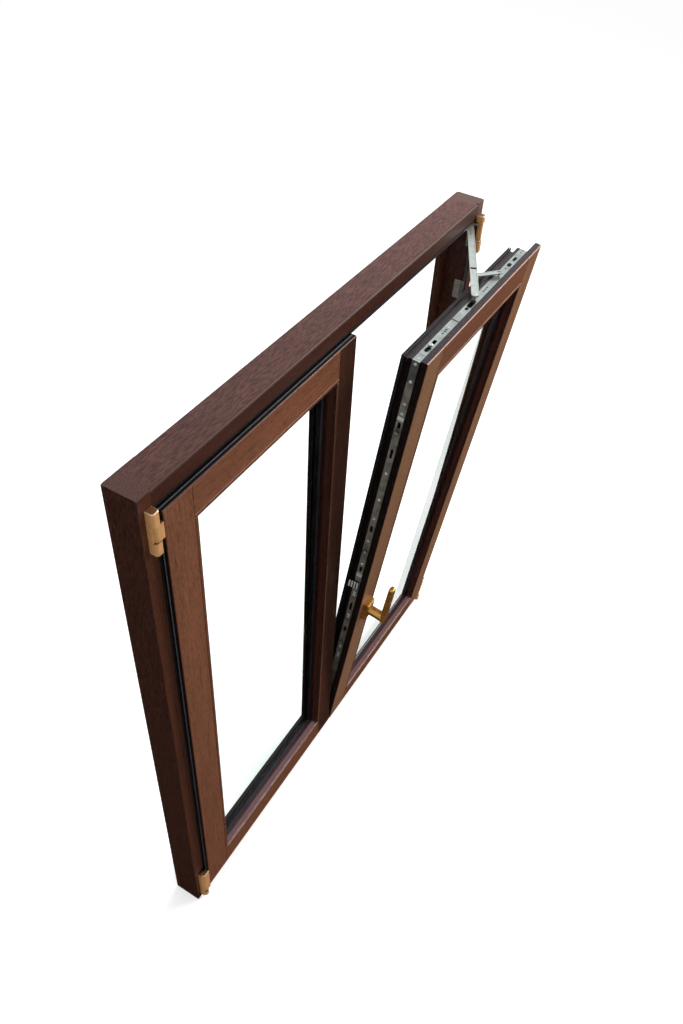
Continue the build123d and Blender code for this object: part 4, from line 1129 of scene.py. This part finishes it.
@dataclass
class Studio:
    """Floor, dark card, light and camera."""

    floor_size: float = 60.0
    floor_hex: str = "#fbfbfb"
    floor_glow: float = 0.5
    card_size: float = 7.0
    card_height: float = 0.002
    card_hex: str = "#2b211b"
    lens: float = 30.905
    eye: tuple = (-1243.5, -708.5, 2280.8)
    right: tuple = (0.514153, -0.856189, 0.050864)
    down: tuple = (-0.583037, -0.392385, -0.711408)
    ahead: tuple = (0.629058, 0.336116, -0.700936)
    sky: float = 0.5
    lamps: tuple = field(
        default=(
            ("key", (3.0, -2.3, 3.0), 2.0, 130.0, "#fff6ee"),
            ("top", (1.4, 0.4, 2.6), 1.4, 22.0, "#f3f5ff"),
        )
    )
    glinting: str = "key"
    aim: tuple = (0.0, -0.05, 0.8)

    def floor(self) -> None:
        """Lay a pale floor that keeps the window's shadow."""
        material = blank("studio_floor")
        tree = material.node_tree
        glow = combine(tree, "MULTIPLY", seen_directly(tree), self.floor_glow)
        shader = add_node(
            tree, "BsdfPrincipled", {},
            {"Base Color": linear(self.floor_hex), "Roughness": 0.9, "Specular IOR Level": 0.0,
             "Emission Color": GREY["white"], "Emission Strength": glow},
        )
        output(tree, shader.outputs["BSDF"])
        self.sheet("studio_floor", self.floor_size, 0.0, material)

    def sheet(self, name: str, size: float, height: float, material: bpy.types.Material) -> bpy.types.Object:
        """Lay a level square that isn't part of the window.

        Args:
            name: the sheet's name.
            size: the length of its sides in metres.
            height: its height in metres.
            material: its finish.

        Returns:
            The new object.
        """
        mesh = bmesh.new()
        bmesh.ops.create_grid(
            mesh, x_segments=1, y_segments=1, size=size / 2, matrix=Matrix.Translation((0, 0, height))
        )
        data = bpy.data.meshes.new(name)
        mesh.to_mesh(data)
        mesh.free()
        data.materials.append(material)
        made = bpy.data.objects.new(name, data)
        bpy.context.scene.collection.objects.link(made)
        return made

    def card(self) -> None:
        """Lay a dark card that only soft reflections see, so that lacquer and metal keep their depth."""
        material = blank("dark_card")
        tree = material.node_tree
        dark = add_node(tree, "BsdfDiffuse", {}, {"Color": linear(self.card_hex)})
        clear = add_node(tree, "BsdfTransparent", {}, {})
        sharp = add_node(tree, "LightPath", {}, {}).outputs["Is Singular Ray"]
        both = add_node(
            tree, "MixShader", {}, {0: sharp, 1: dark.outputs["BSDF"], 2: clear.outputs["BSDF"]}
        )
        output(tree, both.outputs["Shader"])
        made = self.sheet("dark_card", self.card_size, self.card_height, material)
        made.visible_camera = False
        made.visible_diffuse = False
        made.visible_transmission = False
        made.visible_shadow = False

    def light(self) -> None:
        """Set an even white sky and two soft lamps."""
        world = bpy.data.worlds.new("studio_sky")
        bpy.context.scene.world = world
        world.use_nodes = True
        tree = world.node_tree
        tree.nodes.clear()
        strength = combine(tree, "MULTIPLY_ADD", seen_directly(tree), 1.0 - self.sky, self.sky)
        sky = add_node(tree, "Background", {}, {"Color": GREY["white"], "Strength": strength})
        add_node(tree, "OutputWorld", {}, {"Surface": sky.outputs["Background"]})
        for name, spot, size, power, code in self.lamps:
            lamp = bpy.data.lights.new(f"studio_{name}", "AREA")
            lamp.shape = "DISK"
            lamp.size = size
            lamp.energy = power
            lamp.color = linear(code)[:3]
            made = bpy.data.objects.new(lamp.name, lamp)
            made.location = spot
            made.rotation_euler = (Vector(self.aim) - Vector(spot)).to_track_quat("-Z", "Y").to_euler()
            made.visible_glossy = name == self.glinting
            bpy.context.scene.collection.objects.link(made)

    def camera(self) -> None:
        """Set the camera at the photograph's place."""
        data = bpy.data.cameras.new("photo_camera")
        data.lens = self.lens
        data.sensor_width = 36.0
        data.clip_end = 200.0
        made = bpy.data.objects.new("photo_camera", data)
        axes = (Vector(self.right), -Vector(self.down), -Vector(self.ahead))
        turn = Matrix(axes).transposed().to_4x4()
        made.matrix_world = Matrix.Translation(Vector(self.eye) * MM) @ turn
        bpy.context.scene.collection.objects.link(made)
        bpy.context.scene.camera = made
        bpy.context.scene.view_settings.view_transform = "Standard"


def main() -> None:
    """Build the window's looks in order."""
    logging.basicConfig(level=logging.INFO, format="%(message)s")
    studio = Studio()
    studio.camera()
    studio.floor()
    studio.card()
    studio.light()
    finishes = Finishes()
    timber = FrameTimber(finishes)
    timber.dress()
    timber.build()
    timber.arrises()
    timber.seal_sheen_line()
    left = Leaf(
        finishes, "left", "window_frame", SHUT,
        (LEFT_EDGE + STILE_FACE, LEFT_LIP - MEETING_FACE), ("hinge_stile", "meeting_stile"),
    )
    left.dress(finishes.left_across, finishes.left_upright)
    # The left spacer takes the dark copy that paints its shade.
    dress(finishes.spacer_painted_shade, "left_spacer")
    dress(finishes.coated_glass, "left_glass")
    right = Leaf(
        finishes, "right", "right_leaf", LEAN,
        (RIGHT_LIP + STILE_FACE, RIGHT_EDGE - STILE_FACE), ("hinge_stile", "lock_stile"),
    )
    right.dress(finishes.right_across, finishes.right_upright)
    # The meeting stile and astragal take the timber with painted shade.
    dress(finishes.meeting, "left_meeting_stile", "meeting_astragal")
    for leaf in (left, right):
        leaf.joint_lines()
        leaf.nails()
        leaf.bead_noses()
        leaf.glazing_seal()
    fittings = EdgeFittings(finishes)
    fittings.dress()
    fittings.screws()
    fittings.holes()
    fittings.cam_heads()
    fittings.latch()
    stay = Stay(finishes)
    stay.dress()
    stay.build()
    hinges = Hinges(finishes)
    hinges.dress()
    hinges.build()
    handle = Handle(finishes)
    handle.dress()
    handle.lever()


if __name__ == "__main__":
    main()
